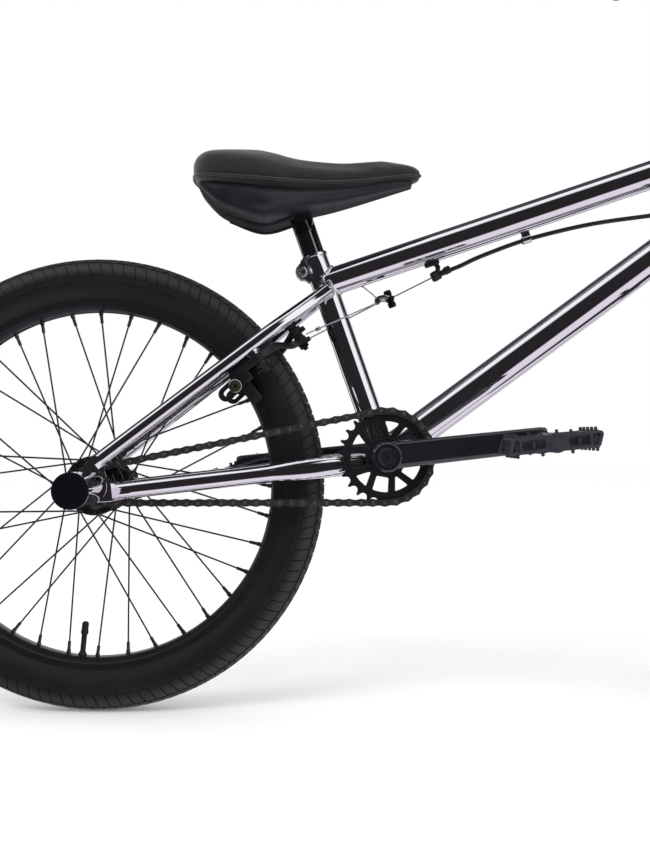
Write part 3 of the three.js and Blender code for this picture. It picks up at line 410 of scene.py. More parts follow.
CRANK_BLACK = finish("crank_black", (0.007, 0.007, 0.011), (0.011, 0.011, 0.016), (0.16, 0.24), mottle=35, grain=600,
                     bump=0.004, coat=0.8, coat_roughness=0.06, specular=0.5)
FABRIC = finish("seat_fabric", (0.009, 0.009, 0.011), (0.016, 0.016, 0.018), (0.68, 0.82), mottle=45, grain=1400,
                bump=0.12, sheen=0.3, specular=0.25)
PEDAL_NYLON = finish("pedal_nylon", (0.022, 0.022, 0.031), (0.036, 0.036, 0.049), (0.38, 0.50), mottle=80, grain=1100,
                     bump=0.03, specular=0.4)
POST_BLACK = finish("post_black", (0.22, 0.22, 0.23), (0.26, 0.26, 0.27), (0.13, 0.20), metallic=1, mottle=35,
                    grain=600, bump=0.003)
BOLT_STEEL = finish("bolt_steel", (0.68, 0.68, 0.70), (0.84, 0.84, 0.86), (0.22, 0.32), metallic=1, mottle=90,
                    grain=900, bump=0.01)
BRASS_BOLT = finish("olive_bolt", (0.16, 0.15, 0.09), (0.24, 0.22, 0.13), (0.3, 0.42), metallic=1, mottle=200)


def paint_tread_lighter():
    """The tread is painted lighter and greyer than the sidewalls, a painted highlight for the light the tread catches;
    the tyre's mesh carries the mark.
    """
    nodes, links = TYRE.node_tree.nodes, TYRE.node_tree.links
    colour = nodes["Principled BSDF"].inputs["Base Color"]
    mark = nodes.new("ShaderNodeAttribute")
    mark.attribute_name = "tread"
    blend = colour_mix(nodes)
    # painted highlight: the lighter grey that the tread band is painted
    blend.inputs["B"].default_value = (0.022, 0.022, 0.023, 1)
    links.new(colour.links[0].from_socket, blend.inputs["A"])
    links.new(mark.outputs["Fac"], blend.inputs["Factor"])
    links.new(blend.outputs["Result"], colour)


paint_tread_lighter()


# ---------------------------------------------------------------- making pieces
def piece(name, form, body, material, stands_for=(), sharp=32):
    """One visible piece from a form in millimetres, riding on its body."""
    mesh = bpy.data.meshes.new(name)
    mesh.from_pydata([p / 1000 for p in form.points], [], form.faces)
    shape = bmesh.new()
    shape.from_mesh(mesh)
    bmesh.ops.remove_doubles(shape, verts=shape.verts, dist=2e-6)
    bmesh.ops.dissolve_degenerate(shape, edges=shape.edges, dist=1e-7)
    bmesh.ops.recalc_face_normals(shape, faces=shape.faces)
    shape.to_mesh(mesh)
    shape.free()
    mesh.shade_smooth()
    mesh.set_sharp_from_angle(angle=rad(sharp))
    mesh.materials.append(material)
    thing = bpy.data.objects.new(name, mesh)
    bpy.context.scene.collection.objects.link(thing)
    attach(thing, body)
    if stands_for:
        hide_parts(*stands_for)
    return thing


# ---------------------------------------------------------------- wheels
# Every wheel form turns about +Z here and is stood up by wheel_matrix, which takes +Z to -Y.
TYRE_SECTION = {"middle": 228.5, "half_height": 27.2, "half_width": 28.5}
TREAD_PITCHES = 119
TREAD_DEPTH = 1.7
RIM_OUTER, RIM_INNER = 209.5, 195.5
NIPPLE_START = 89.4
SPOKES = 36
SPOKE_CROSS_ANGLE = 60
VALVE_ANGLE = 264.2
FLANGE_HOLES, FLANGE_HALF = 30.0, 33.0


def wheel_matrix(place):
    return Matrix.Translation(place) @ STAND


def tyre_rows():
    """Rows of the tyre's section: its angle round the section, its height, and its groove phase or None."""
    wall = [(-52, -0.9), (-44, -0.8), (-34, -0.8), (-24, -0.8), (-14, -0.8), (-6, -0.8), (-3.2, -0.8), (-2.4, -0.1),
            (-1.2, -0.1), (-0.4, -0.8), (4, -0.8), (9, -0.8), (12, -0.8)]
    rows = [(angle, height, None) for angle, height in wall]
    rows += [(angle, 0.0, 0.0) for angle in (12.6, 18, 25, 32, 39, 45, 48.6)]
    rows += [(49.4, -TREAD_DEPTH, None), (53.0, -TREAD_DEPTH, None)]
    rows += [(angle, 0.0, 0.5) for angle in (53.8, 60, 67, 72.6)]
    rows += [(73.4, -TREAD_DEPTH, None), (76.6, -TREAD_DEPTH, None)]
    rows += [(angle, 0.0, 0.0) for angle in (77.4, 84, 90)]
    return rows


def tread_slant(angle):
    """How far round the tyre a groove leans, in pitches, at a section angle."""
    if angle < 49:
        return 0.42 * max(angle - 12, 0) / 37
    return 0.42 * max(74 - angle, 0) / 25


def tyre():
    half = tyre_rows()
    rows = half + [(180 - angle, height, phase) for angle, height, phase in reversed(half[:-1])]
    columns = (0.0, 0.02, 0.10, 0.12, 0.31, 0.5, 0.52, 0.60, 0.62, 0.81)
    rings = []
    for angle, height, phase in rows:
        slant = tread_slant(min(angle, 180 - angle))
        ring = []
        for tooth in range(TREAD_PITCHES):
            for column in columns:
                sunk = phase is not None and 0.01 < (column - phase) % 1.0 < 0.11
                lift = -TREAD_DEPTH if sunk else height
                outward = Vector((math.sin(rad(angle)), math.cos(rad(angle))))
                r = TYRE_SECTION["middle"] + (TYRE_SECTION["half_height"] + lift) * outward.x
                y = (TYRE_SECTION["half_width"] + lift) * outward.y
                around = 2 * math.pi * (tooth + column + slant) / TREAD_PITCHES
                ring.append(Vector((r * math.cos(around), r * math.sin(around), y)))
        rings.append(ring)
    columns_round = len(rings[0])
    rings += [level_ring(206, -14.0, columns_round), level_ring(205, 14.0, columns_round)]
    return loft(rings, closed=True)


def rim():
    """A double-walled rim with hooked edges and a shallow well."""
    half = [(RIM_INNER, 6), (RIM_INNER + 0.8, 9.5), (RIM_INNER + 4.5, 16.2), (RIM_INNER + 6, 17.4),
            (RIM_OUTER - 1.2, 17.8), (RIM_OUTER - 0.4, 17.5), (RIM_OUTER, 16.8), (RIM_OUTER - 0.4, 15.6),
            (RIM_OUTER - 3, 15.2), (RIM_OUTER - 5, 14), (RIM_OUTER - 7, 9), (RIM_OUTER - 8.5, 4)]
    profile = [*half, *[(r, -y) for r, y in reversed(half)]]
    return turned(profile, 180, closed=True)


def spoke_ends(index):
    """Where a spoke leaves its flange and where it meets the rim, and the flange's side."""
    nipple = rad(NIPPLE_START + index * 360 / SPOKES)
    side = -1 if index % 2 == 0 else 1
    turn = rad(SPOKE_CROSS_ANGLE) * (-1 if index // 2 % 2 == 0 else 1)
    out = 2.4 if turn > 0 else -2.4
    hole = nipple + turn
    start = Vector((FLANGE_HOLES * math.cos(hole), FLANGE_HOLES * math.sin(hole), -side * (FLANGE_HALF + out)))
    end = Vector((RIM_INNER * math.cos(nipple), RIM_INNER * math.sin(nipple), -side * 3.0))
    return start, end, side


def spokes_and_nipples():
    spokes, nipples = Form(), Form()
    for index in range(SPOKES):
        start, end, side = spoke_ends(index)
        through = Vector((start.x, start.y, -side * FLANGE_HALF * 2 - start.z))
        way = (end - start).normalized()
        elbow = start + way * 3.4
        inward = (through - start).normalized()
        spokes.add(sweep([through - inward * 0.6, start - inward * 1.2, start + way * 1.1, elbow, end - way * 9],
                         (1.0, 1.0), sides=8, first=way))
        spokes.add(along(turned(rounded(0, 1.6, 2.1, 0.7), 12), through - inward * 0.2, -inward))
        body = [(0, -13), (1.75, -13), (1.9, -12.6), (1.9, -4.5), (2.5, -3.4), (2.5, 0.5), (0, 0.5)]
        nipples.add(along(turned(body, 10), end, way))
    return spokes, nipples


def hub(end_left, end_right, middle):
    """A hub shell about +Z, which is the bike's left after standing up as -Z: heights are to the right."""
    def flange(side):
        at = side * FLANGE_HALF
        face = [(middle, -7), (19.5, -5.4), (22, -2.2), (25, -1.7), (FLANGE_HOLES + 1.8, -1.6), (33, -1.1), (33.3, 0),
                (33, 1.1), (FLANGE_HOLES + 1.8, 1.6), (25, 1.7), (23.6, 2.6), (21.5, 2.6), (20.8, 4.2), (middle + 1, 5)]
        return [(r, at + h * side) for r, h in (face if side > 0 else reversed(face))]
    profile = [(6, -end_left), (middle - 2, -end_left), (middle - 1.4, -end_left + 1), *flange(-1),
               (middle - 1.5, -18), (middle - 2.2, 0), (middle - 1.5, 18), *flange(1),
               (middle - 1.4, end_right - 1), (middle - 2, end_right), (6, end_right)]
    return turned(profile, 72, closed=True)


def valve():
    """A capped valve that stands on the rim's inner side, pointing at the axle along +Z."""
    cap = [(3.6, 24), (4.3, 25), (4.3, 28), (3.9, 28.6), (3.9, 36), (3.2, 38), (1.6, 38.8), (0, 39)]
    stem = [(0, -2), (5.0, -2), (5.0, 1.5), (4.2, 3), (3.1, 5), (3.1, 24), (0, 24)]
    return turned(stem, 20), turned([(0, 24), *cap], 20)


def build_wheel(end, place, hub_sides):
    body = f"{end}_wheel"
    stand = wheel_matrix(place)
    rubber = piece(f"{end}_tyre_tread", tyre().moved(stand), body, TYRE, [f"{end}_tyre"], sharp=28)
    # painted highlight: the tread band is marked so its rubber is painted lighter than the sidewalls'
    mark = rubber.data.attributes.new("tread", "FLOAT", "POINT")
    for vertex, value in zip(rubber.data.vertices, mark.data):
        value.value = min(max(((vertex.co * 1000 - stand.translation).xz.length - 238) / 4, 0), 1)
    piece(f"{end}_rim_hoop", rim().moved(stand), body, BLACK_ANODISED, [f"{end}_rim"])
    spokes, nipples = spokes_and_nipples()
    piece(f"{end}_spoke_set", spokes.moved(stand), body, BLACK_PAINT, [f"{end}_spokes"], sharp=60)
    piece(f"{end}_nipples", nipples.moved(stand), body, BLACK_PAINT)
    piece(f"{end}_hub_shell", hub(*hub_sides).moved(stand), body, BLACK_GLOSS, [f"{end}_hub"])
    # the valve hangs between the two spokes nearest the bottom, a little behind them
    angle = rad(VALVE_ANGLE)
    foot = Vector((math.cos(angle), math.sin(angle), 0)) * RIM_INNER
    stem, cap = valve()
    for name, form, material, slot in (("valve_stem", stem, NYLON, "tyre_rubber"),
                                       ("valve_cap", cap, NYLON, "black_plastic")):
        piece(f"{end}_{name}", along(form, foot, -foot).moved(stand), body, material)


build_wheel("rear", REAR_AXLE, (50, 35.5, 17))
build_wheel("front", FRONT_AXLE, (45, 45, 15))


# ---------------------------------------------------------------- frame
SEAT_JUNCTION = rear(255.2, 227.6)
TOP_RADIUS, DOWN_RADIUS, SEAT_RADIUS, HEAD_RADIUS, SHELL_RADIUS = 15.9, 19.05, 14.3, 21.0, 20.0
REAR_PLATE, FRONT_PLATE = (55.0, 61.0), (50.0, 56.0)
BEHIND = Y.cross(SEAT_UP) * -1
TOP_SLOPE, DOWN_SLOPE, STAY_SLOPE = 18.5, 36.4, 37.4
STAY_RADIUS = 8.0
SEAT_BORE = 13.0
SLOT_LENGTH = 33
BINDER_BEHIND, BINDER_DOWN = 19, 15.5  # the binder bolt, from the top of the seat tube
FINE_BEAD = (1.7, 120)
STAY_WAY = Vector((math.cos(rad(STAY_SLOPE)), 0, math.sin(rad(STAY_SLOPE))))
BRAKE_PIVOT = Vector((pivot("brake_arm_left_swing").x, 0, pivot("brake_arm_left_swing").z))


def meets_steering(start, slope):
    """Where a tube that climbs from a point at a slope meets the steering axis."""
    climb = math.tan(rad(slope))
    offset = HEAD - start
    return HEAD + UP * ((offset.x * climb - offset.z) / (UP.z - UP.x * climb))


TOP_END, DOWN_END = meets_steering(SEAT_JUNCTION, TOP_SLOPE), meets_steering(BRACKET, DOWN_SLOPE)


def straight(start, end, radius, bore=0.0, sides=64):
    """A straight tube or rod between two points."""
    edge = 0.4
    start, end = Vector(start), Vector(end)
    length = (end - start).length
    profile = [(bore, 0), (radius - edge, 0), (radius, edge), (radius, length - edge), (radius - edge, length),
               (bore, length)]
    return along(turned(profile, sides, closed=bore > 0), start, end - start)


def weld(start, way, radius, other, other_way, other_radius, size=2.1, count=180):
    """A rippled bead where a tube that runs along way meets another round tube."""
    way, other_way = way.normalized(), other_way.normalized()
    hint = frame_of(Vector(), way, Y)
    flat = way - other_way * way.dot(other_way)
    path, sizes = [], []
    for i in range(count):
        angle = 2 * math.pi * i / count
        point = start + hint @ Vector((radius * math.cos(angle), radius * math.sin(angle), 0))
        off = point - other
        off -= other_way * off.dot(other_way)
        a, b, c = flat.dot(flat), 2 * off.dot(flat), off.dot(off) - other_radius ** 2
        reach = (-b - math.sqrt(max(b * b - 4 * a * c, 0))) / (2 * a)
        path.append(point + way * reach)
        swell = size * (1 + 0.16 * math.sin(2 * math.pi * i / 3.3))
        sizes.append((swell, swell))
    return sweep(path, sizes, sides=8, closed=True)


def head_tube():
    half = [(17, 55), (22.4, 55), (22.9, 54.5), (22.9, 49), (21.6, 47), (HEAD_RADIUS, 44)]
    profile = [*half, *[(r, -h) for r, h in reversed(half)]]
    form = along(turned(profile, 72, closed=True), HEAD, UP, AHEAD)
    for side in (-1, 1):
        ear = [(-9, 0), (9, 0), (8, 12), (6, 20), (0, 22.5), (-6, 20), (-8, 12)]
        hole = [(p.x, p.y + 15) for p in circle(2.6, 16)]
        lug = plate([(x, y * side) for x, y in ear], 40, 44, [[(x, y * side) for x, y in hole]], 0.6)
        form.add(lug, frame_of(HEAD, UP, AHEAD) @ Matrix.Translation((0, 18.5 * side, 0)))
    return form


def seat_tube():
    slot_foot = SEAT_TUBE_TOP - SEAT_UP * SLOT_LENGTH
    form = straight(BRACKET, slot_foot, SEAT_RADIUS, SEAT_BORE)
    outer = circle(SEAT_RADIUS, 60, 6.0, 354.0)
    inner = circle(SEAT_BORE, 60, 6.6, 353.4)
    form.add(along(plate([*outer, *reversed(inner)], 0, SLOT_LENGTH, edge=0.3), slot_foot, SEAT_UP, BEHIND))
    rim = [(SEAT_BORE, -3.2), (14.9, -3.2), (15.3, -2.6), (15.3, -0.6), (14.8, 0), (SEAT_BORE, 0)]
    ring = [Vector((math.cos(rad(a)), math.sin(rad(a)), 0)) for a in range(8, 353, 6)]
    band = [[Vector((p.x * r, p.y * r, h)) for r, h in rim] for p in ring]
    form.add(along(loft(band), SEAT_TUBE_TOP, SEAT_UP, BEHIND))
    ear = [(11, -1.5), (15.5, -1.2), (18, -4.5), (24, -8.5), (26.3, -12.5), (26.5, -17.5), (24, -21.8), (19, -24),
           (16, -28), (11, -30)]
    for low, high in ((1.7, 9.6), (-9.6, -1.7)):
        hole = [(BINDER_BEHIND + p.x, p.y - BINDER_DOWN) for p in circle(3.2, 16)]
        lug = sideways(plate(ear, low, high, [hole], 1.5))
        basis = Matrix((BEHIND, Y, SEAT_UP)).transposed().to_4x4()
        basis.translation = SEAT_TUBE_TOP
        form.add(lug, basis)
    return form


def seat_stay(side):
    way = [(-200, 59.5, 8), (-172, 58, 8), (-80, 51, 8), (0, 44, 8), (38, 39, 8), (75, 26, 8), (96, 19.5, 8),
           (114, 17.5, 7.8)]
    places = smooth_path([BRAKE_PIVOT + STAY_WAY * a + Y * side * y for a, y, _ in way], 8)
    form = sweep(places, (STAY_RADIUS, STAY_RADIUS), sides=40)
    count = 40
    # both ends are cut aslant: the foot faces outwards and the top faces the seat tube's side
    for i in range(count):
        out = (form.points[i] - places[0]).dot(Y) * side
        form.points[i] -= STAY_WAY * (12 - out * 1.5)
        last = len(form.points) - count + i
        out = (form.points[last] - places[-1]).dot(Y) * side
        form.points[last] -= STAY_WAY * max(out, -2) * 1.3
    return form


def chain_stay(side):
    way = [(38, 58, 9.5, 9.5), (120, 52.5, 9.5, 9.7), (180, 47, 9.4, 9.8), (205, 44, 8.4, 10.6), (228, 41.5, 7.3, 11.6),
           (250, 38.2, 7.0, 12.0), (275, 32.5, 7.6, 12.0), (312, 24, 9.5, 11.5)]
    path = smooth_path([rear(x, -8.3 + 0.1128 * x, y * side) for x, y, _, _ in way], 6)
    steps = smooth_path([(w, h, 0) for _, _, w, h in way], 6)
    form = sweep(path, [(w, h) for w, h, _ in steps], sides=40)
    count = 40
    for i in range(count):
        out = (form.points[i] - path[0]).dot(Y) * side
        form.points[i] += Vector((-18.5 + out * 1.55, 0, -1.9 + out * 0.17))
    return form


def dropout():
    slot = [(0, -7.4), *[(p.x, p.y) for p in circle(7.4, 9, -80, 80)], (0, 7.4)]
    notch = [(24, 36), (20, 29), (17.2, 23), (16.6, 17), (18.6, 10.5), (25, 5.6), (46, 4)]
    return [(-26, 7.4), (-26, 12), (-23, 14), (-14, 14.5), (-10, 17), (-5, 24), (1, 32.5), (8, 37), *notch,
            (46, -12), (22, -16.5), (0, -17.6), (-14, -16.5), (-23, -14), (-26, -12), (-26, -7.4), *slot]


def build_frame():
    right = Vector((0, -1, 0))
    chrome = {"head_tube": head_tube(), "seat_tube": seat_tube()}
    chrome["top_tube"] = straight(SEAT_JUNCTION, TOP_END, TOP_RADIUS)
    chrome["down_tube"] = straight(BRACKET, DOWN_END, DOWN_RADIUS)
    shell = [(17, -34), (19.4, -34), (20, -33.4), (20, -31), (19.7, -30.6), (19.7, 30.6), (20, 31), (20, 33.4),
             (19.4, 34), (17, 34)]
    chrome["bb_shell"] = along(turned(shell, 64, closed=True), BRACKET, right)
    for word, side in SIDES:
        chrome[f"seatstay_{word}"] = seat_stay(side)
        chrome[f"chainstay_{word}"] = chain_stay(side)
        low, high = sorted((-side * REAR_PLATE[0], -side * REAR_PLATE[1]))
        chrome[f"dropout_{word}"] = sideways(plate(dropout(), low, high, edge=0.9)).moved(
            Matrix.Translation(REAR_AXLE))
    for node, form in chrome.items():
        piece(f"{node}_plated", form, "frame", CHROME, [node], sharp=40)
    top, down = TOP_END - SEAT_JUNCTION, DOWN_END - BRACKET
    top_middle, down_middle = TOP_END - top * 0.5, BRACKET + down * 0.5
    beads = [
        weld(top_middle, top, TOP_RADIUS, HEAD, UP, HEAD_RADIUS),
        weld(down_middle, down, DOWN_RADIUS, HEAD, UP, HEAD_RADIUS),
        weld(top_middle, -top, TOP_RADIUS, BRACKET, SEAT_UP, SEAT_RADIUS),
        weld(down_middle, -down, DOWN_RADIUS, BRACKET, right, SHELL_RADIUS),
        weld(SEAT_JUNCTION, -SEAT_UP, SEAT_RADIUS, BRACKET, right, SHELL_RADIUS),
    ]
    for side in (-1, 1):
        foot = BRAKE_PIVOT + Y * side * 26 + STAY_WAY * 75
        way = BRAKE_PIVOT + Y * side * 19 + STAY_WAY * 97 - foot
        beads.append(weld(foot, way, STAY_RADIUS, BRACKET, SEAT_UP, SEAT_RADIUS, *FINE_BEAD))
    piece("weld_beads", joined(*beads), "frame", CHROME, sharp=60)


def build_binder_bolt():
    lug = SEAT_TUBE_TOP - SEAT_UP * BINDER_DOWN + BEHIND * BINDER_BEHIND
    head = along(socket_head(5.6, 5.6, 2.6, 3.0, 36), lug - Y * 9.9, -Y)
    washer = along(turned(rounded(0, 1.0, 6.3, 0.25), 32), lug - Y * 9.4, -Y)
    shank = straight(lug - Y * 12, lug + Y * 15, 3.0, sides=16)
    nut = along(hex_nut(9.6, 5.2, 2.9), lug + Y * 9.7, Y)
    piece("seat_binder_bolt_and_nut", joined(head, washer, shank, nut), "frame", BOLT_STEEL)


def build_axle(end, place, body, radius, plate_span):
    inner, outer = plate_span
    nut_at = outer + 8.6
    form = straight(place - Y * (nut_at + 13), place + Y * (nut_at + 13), radius, sides=28)
    for side in (-1, 1):
        form.add(along(hex_nut(radius * 2 + 8, 10.5, radius), place + Y * side * nut_at, Y * side))
        cone = [(radius, 0), (radius + 4, 0), (radius + 4, 3.4), (radius + 2.6, 4.2), (radius, 4.2)]
        form.add(along(turned(cone, 32, closed=True), place + Y * side * (inner - 4.6), Y * side))
    piece(f"{end}_axle_and_nuts", form, body, STEEL, [f"{end}_axle"])


def build_peg(name, place, side, outer, body):
    """A plated tube with a thick foot on the dropout, closed by a black plastic cap."""
    foot = place + Y * side * (outer + 0.3)
    barrel = [(7.4, 0), (18.4, 0), (19, 0.6), (19, 95.6), (18.6, 96.2), (15.2, 96.2), (15.2, 8.2), (7.4, 8.2)]
    piece(f"{name}_barrel", along(turned(barrel, 72, closed=True), foot, Y * side), body, CHROME, [name])
    cap = [(0, 88), (15.0, 88), (15.1, 96.3), (18.5, 96.3), (19, 96.8), (19, 98.0), (18.7, 98.6), (18.0, 98.9),
           (9, 99.2), (0, 99.3)]
    piece(f"{name}_cap", along(turned(cap, 72), foot, Y * side), body, CAP)


build_frame()
build_binder_bolt()
build_axle("rear", REAR_AXLE, "frame", 7, REAR_PLATE)
build_axle("front", FRONT_AXLE, "steering", 5, FRONT_PLATE)
for word, side in SIDES:
    build_peg(f"rear_peg_{word}", REAR_AXLE, side, REAR_PLATE[1], "frame")
    build_peg(f"front_peg_{word}", FRONT_AXLE, side, FRONT_PLATE[1], "steering")


# ---------------------------------------------------------------- chain, sprocket and driver
CHAIN_PITCH, SPROCKET_TEETH, DRIVER_TEETH = 12.7, 25, 9
PITCH_LINES = [CHAIN_PITCH / 2 / math.sin(math.pi / count) for count in (SPROCKET_TEETH, DRIVER_TEETH)]
CHAIN_LINE = 45.0
COG_HALF = 1.5  # half of a toothed plate's thickness
CHAIN_LINKS = 68
CHAIN_START = 0.74  # how far the first pin is from the foremost point of the loop, in links
CRANK_SPOT = 200.0  # where the sprocket is bolted to the crank, in degrees


def chain_loop():
    """A function that gives the chain's pitch line and its direction at a length along it."""
    front, rear_radius = PITCH_LINES
    between = BRACKET - REAR_AXLE
    distance = between.length
    line = math.atan2(between.z, between.x)
    splay = math.asin((front - rear_radius) / distance)
    run = distance * math.cos(splay)
    front_arc, rear_arc = math.pi + 2 * splay, math.pi - 2 * splay
    parts = [front * front_arc / 2, run, rear_radius * rear_arc, run, front * front_arc / 2]

    def spoke(angle):
        return Vector((math.cos(angle), 0, math.sin(angle)))

    def at(length):
        length %= sum(parts)
        for index, part in enumerate(parts):
            if length <= part:
                break
            length -= part
        high, low = line + math.pi / 2 + splay, line - math.pi / 2 - splay
        if index in (0, 4):
            turn = line + length / front if index == 0 else low + length / front
            return BRACKET + spoke(turn) * front
        if index == 2:
            return REAR_AXLE + spoke(high + length / rear_radius) * rear_radius
        if index == 1:
            return BRACKET + spoke(high) * front + spoke(high + math.pi / 2) * length
        return REAR_AXLE + spoke(low) * rear_radius + spoke(low + math.pi / 2) * length
    return at, sum(parts)


def link_plate(reach):
    """A waisted side plate between two pins, thick along +Z from 0 to 1."""
    half = 6.4
    waist = []
    for side in (1, -1):
        ends = circle(reach, 10, -95 if side > 0 else 85, 95 if side > 0 else 265)
        waist += [(p.x + half * side, p.y) for p in ends]
        waist.append((0, reach * 0.74 * side))
    return plate(waist, 0, 1.0, edge=0.22)


def build_chain():
    at, length = chain_loop()
    inner, outer, pins = Form(), Form(), Form()
    near, far = link_plate(4.1), link_plate(4.35)
    roller = turned([(1.8, -2.0), (3.75, -2.0), (3.9, -1.8), (3.9, 1.8), (3.75, 2.0), (1.8, 2.0)], 16, closed=True)
    pin = turned([(0, -4.7), (1.5, -4.7), (1.8, -4.4), (1.8, 4.4), (1.5, 4.7), (0, 4.7)], 12)
    for link in range(CHAIN_LINKS):
        a, b = (at(length * (link + i - CHAIN_START) / CHAIN_LINKS) for i in range(2))
        place = frame_of((a + b) / 2 - Y * CHAIN_LINE, -Y, b - a)
        form, low, plates = (inner, 2.15, near) if link % 2 else (outer, 3.25, far)
        for z in (low, -low - 1.0):
            form.add(plates, place @ Matrix.Translation((0, 0, z)))
        stand = frame_of(a - Y * CHAIN_LINE, -Y)
        pins.add(pin, stand)
        inner.add(roller, stand)
    piece("chain_outer_plates", outer, "frame", CHAIN_STEEL, ["chain"])
    piece("chain_inner_plates_and_rollers", inner, "frame", CHAIN_STEEL)
    piece("chain_pins", pins, "frame", PIN_STEEL)


def teeth(count, root, tip, shape, start):
    """A toothed outline. shape gives (share of a pitch, share of the tooth's height) pairs."""
    points = []
    for tooth in range(count):
        for share, rise in shape:
            angle = rad(start) + 2 * math.pi * (tooth + share) / count
            r = root + (tip - root) * rise
            points.append((r * math.cos(angle), r * math.sin(angle)))
    return points


def pin_angle(centre, share):
    """The angle about a wheel's centre of the chain pin nearest a share of the loop."""
    at, length = chain_loop()
    spot = at(length * (round(share * CHAIN_LINKS + CHAIN_START) - CHAIN_START) / CHAIN_LINKS) - centre
    return math.degrees(math.atan2(spot.z, spot.x))


HALF_TOOTH = [(0.376, 0.045), (0.268, 0.174), (0.187, 0.371), (0.144, 0.613), (0.122, 0.80), (0.075, 0.95), (0.03, 1.0)]
CUSP = [(-0.5, 0), *((-share, rise) for share, rise in HALF_TOOTH), *reversed(HALF_TOOTH)]


def polar(radius, angle, aside=0.0):
    a = rad(angle)
    return (radius * math.cos(a) - aside * math.sin(a), radius * math.sin(a) + aside * math.cos(a))


def eased(loop, reach):
    """Rounds the corners of a closed outline, cutting each back by up to reach."""
    points = []
    for i, corner in enumerate(loop):
        corner, before, after = (Vector(p) for p in (corner, loop[i - 1], loop[(i + 1) % len(loop)]))
        ways = [(p - corner).normalized() * min(reach, (p - corner).length * 0.45) for p in (before, after)]
        if ways[0].normalized().dot(ways[1].normalized()) < -0.97:
            points.append(tuple(corner))
            continue
        for t in (0, 0.25, 0.5, 0.75, 1):
            points.append(tuple(corner + ways[0] * (1 - t) ** 2 + ways[1] * t ** 2))
    return points


def window(angle, outer_half, inner_half, inner):
    """A window of the sprocket with an arc for its outer edge."""
    outer = 39.0
    spread = math.degrees(math.asin(outer_half / outer))
    arc = [polar(outer, angle + spread * (1 - i / 3)) for i in range(7)]
    return eased([*arc, polar(inner, angle, -inner_half), polar(inner, angle, inner_half)], 1.6)


def build_sprocket():
    holes = [circle(9.6, 32)]
    for i in range(5):
        holes.append(window(44 + 72 * i, 8.6, 6.6, 22.5))
        holes.append(window(80 + 72 * i, 7.6, 0.8, 24.5))
    outline = teeth(SPROCKET_TEETH, 46.6, 53.0, CUSP, pin_angle(BRACKET, 0) + 180 / SPROCKET_TEETH)
    form = plate(outline, CHAIN_LINE - COG_HALF, CHAIN_LINE + COG_HALF, holes, 0.45)
    boss = [(9.6, 39), (16.4, 39), (17, 39.6), (17, 43.6), (20.5, 43.6), (21, 44.2), (21, 47.2), (20.4, 47.8),
            (17, 47.8), (17, 51), (16.4, 51.5), (9.6, 51.5)]
    form.add(turned(boss, 64, closed=True))
    bolt = socket_head(4.2, 3.0, 2.3, 2.0)
    spot = polar(19.0, CRANK_SPOT)
    form.add(bolt, Matrix.Translation((*spot, CHAIN_LINE + 2.6)))
    piece("sprocket_plate", form.moved(wheel_matrix(BRACKET)), "crank", BLACK_ANODISED, ["sprocket"])


def build_driver():
    tooth = [(-0.40, 0), (-0.28, 0.1), (-0.18, 0.5), (-0.08, 0.95), (0.0, 1.0), (0.08, 0.95), (0.18, 0.5), (0.28, 0.1),
             (0.40, 0)]
    outline = teeth(DRIVER_TEETH, 15.2, 21.4, tooth, pin_angle(REAR_AXLE, 0.5) + 180 / DRIVER_TEETH)
    form = plate(outline, CHAIN_LINE - COG_HALF, CHAIN_LINE + COG_HALF, [circle(7.4, 24)], 0.4)
    body = [(7.4, 36.2), (12.6, 36.2), (13.1, 36.8), (13.1, 43.6), (14.6, 44.2), (14.6, 46.4), (13.1, 47.2), (12.4, 50),
            (7.4, 50)]
    form.add(turned(body, 48, closed=True))
    piece("rear_driver_cog", form.moved(wheel_matrix(REAR_AXLE)), "driver", BLACK_ANODISED,
          ["rear_driver"])


build_chain()
build_sprocket()
build_driver()


# ---------------------------------------------------------------- cranks and pedals
# Made with the crank along +X, up along +Z and the outer side towards -Y.
PEDAL_TURN = {"left": rad(14), "right": 0.0}  # how far each pedal is turned on its axle


def crank_frame(side):
    turn = Matrix.Rotation(math.pi if side == "left" else 0, 4, "Z")
    return Matrix.Translation(BRACKET) @ Matrix.Rotation(-CRANK_TILT, 4, "Y") @ turn


def crank_arm():
    rings = []
    sections = [(-2, 55, 74.5, -9, 10), (4, 54, 75.3, -13, 15), (10, 53.6, 75.6, -13.6, 16), (40, 55, 76.6, -12.8, 16),
                (80, 58.4, 78.4, -12.0, 16), (120, 62, 80.6, -11.2, 16), (150, 64.8, 82.2, -10.7, 16),
                (166, 66, 83, -10.5, 16), (171, 66.3, 82.8, -10.0, 15.4), (172.8, 67.5, 81.6, -8.4, 13.8)]
    for x, inner, outer, low, top in sections:
        rings.append([Vector((x, -(inner + outer) / 2 + c * (outer - inner) / 2, (low + top) / 2 + s * (top - low) / 2))
                      for c, s in squared_circle(44, 0.52)])
    form = loft(rings)
    boss = [(9.7, 53), (15.6, 53), (16.2, 53.6), (16.2, 75.4), (15.4, 76.9), (14.2, 77.5), (13.4, 77.3), (12.7, 76.3),
            (12.7, 72.5), (9.7, 72.5)]
    form.add(along(turned(boss, 64, closed=True), Vector(), -Y))
    eye = [(7.2, 66), (12.4, 66), (12.9, 66.5), (12.9, 82.6), (12.4, 83.2), (7.2, 83.2)]
    form.add(along(turned(eye, 40, closed=True), Vector((CRANK_LENGTH, 0, 0)), -Y))
    cap = [(12.5, 70), (12.5, 75.6), (12.0, 76.2), (9.4, 76.5), (8.9, 76.2), (7.2, 76.2), (6.8, 75.6), (4.6, 75.4)]
    bolt = along(turned(cap, 48), Vector(), -Y).add(
        along(socket_head(4.8, 3.0, 2.5, 2.2), Vector((0, -72.6, 0)), -Y))
    return form, bolt


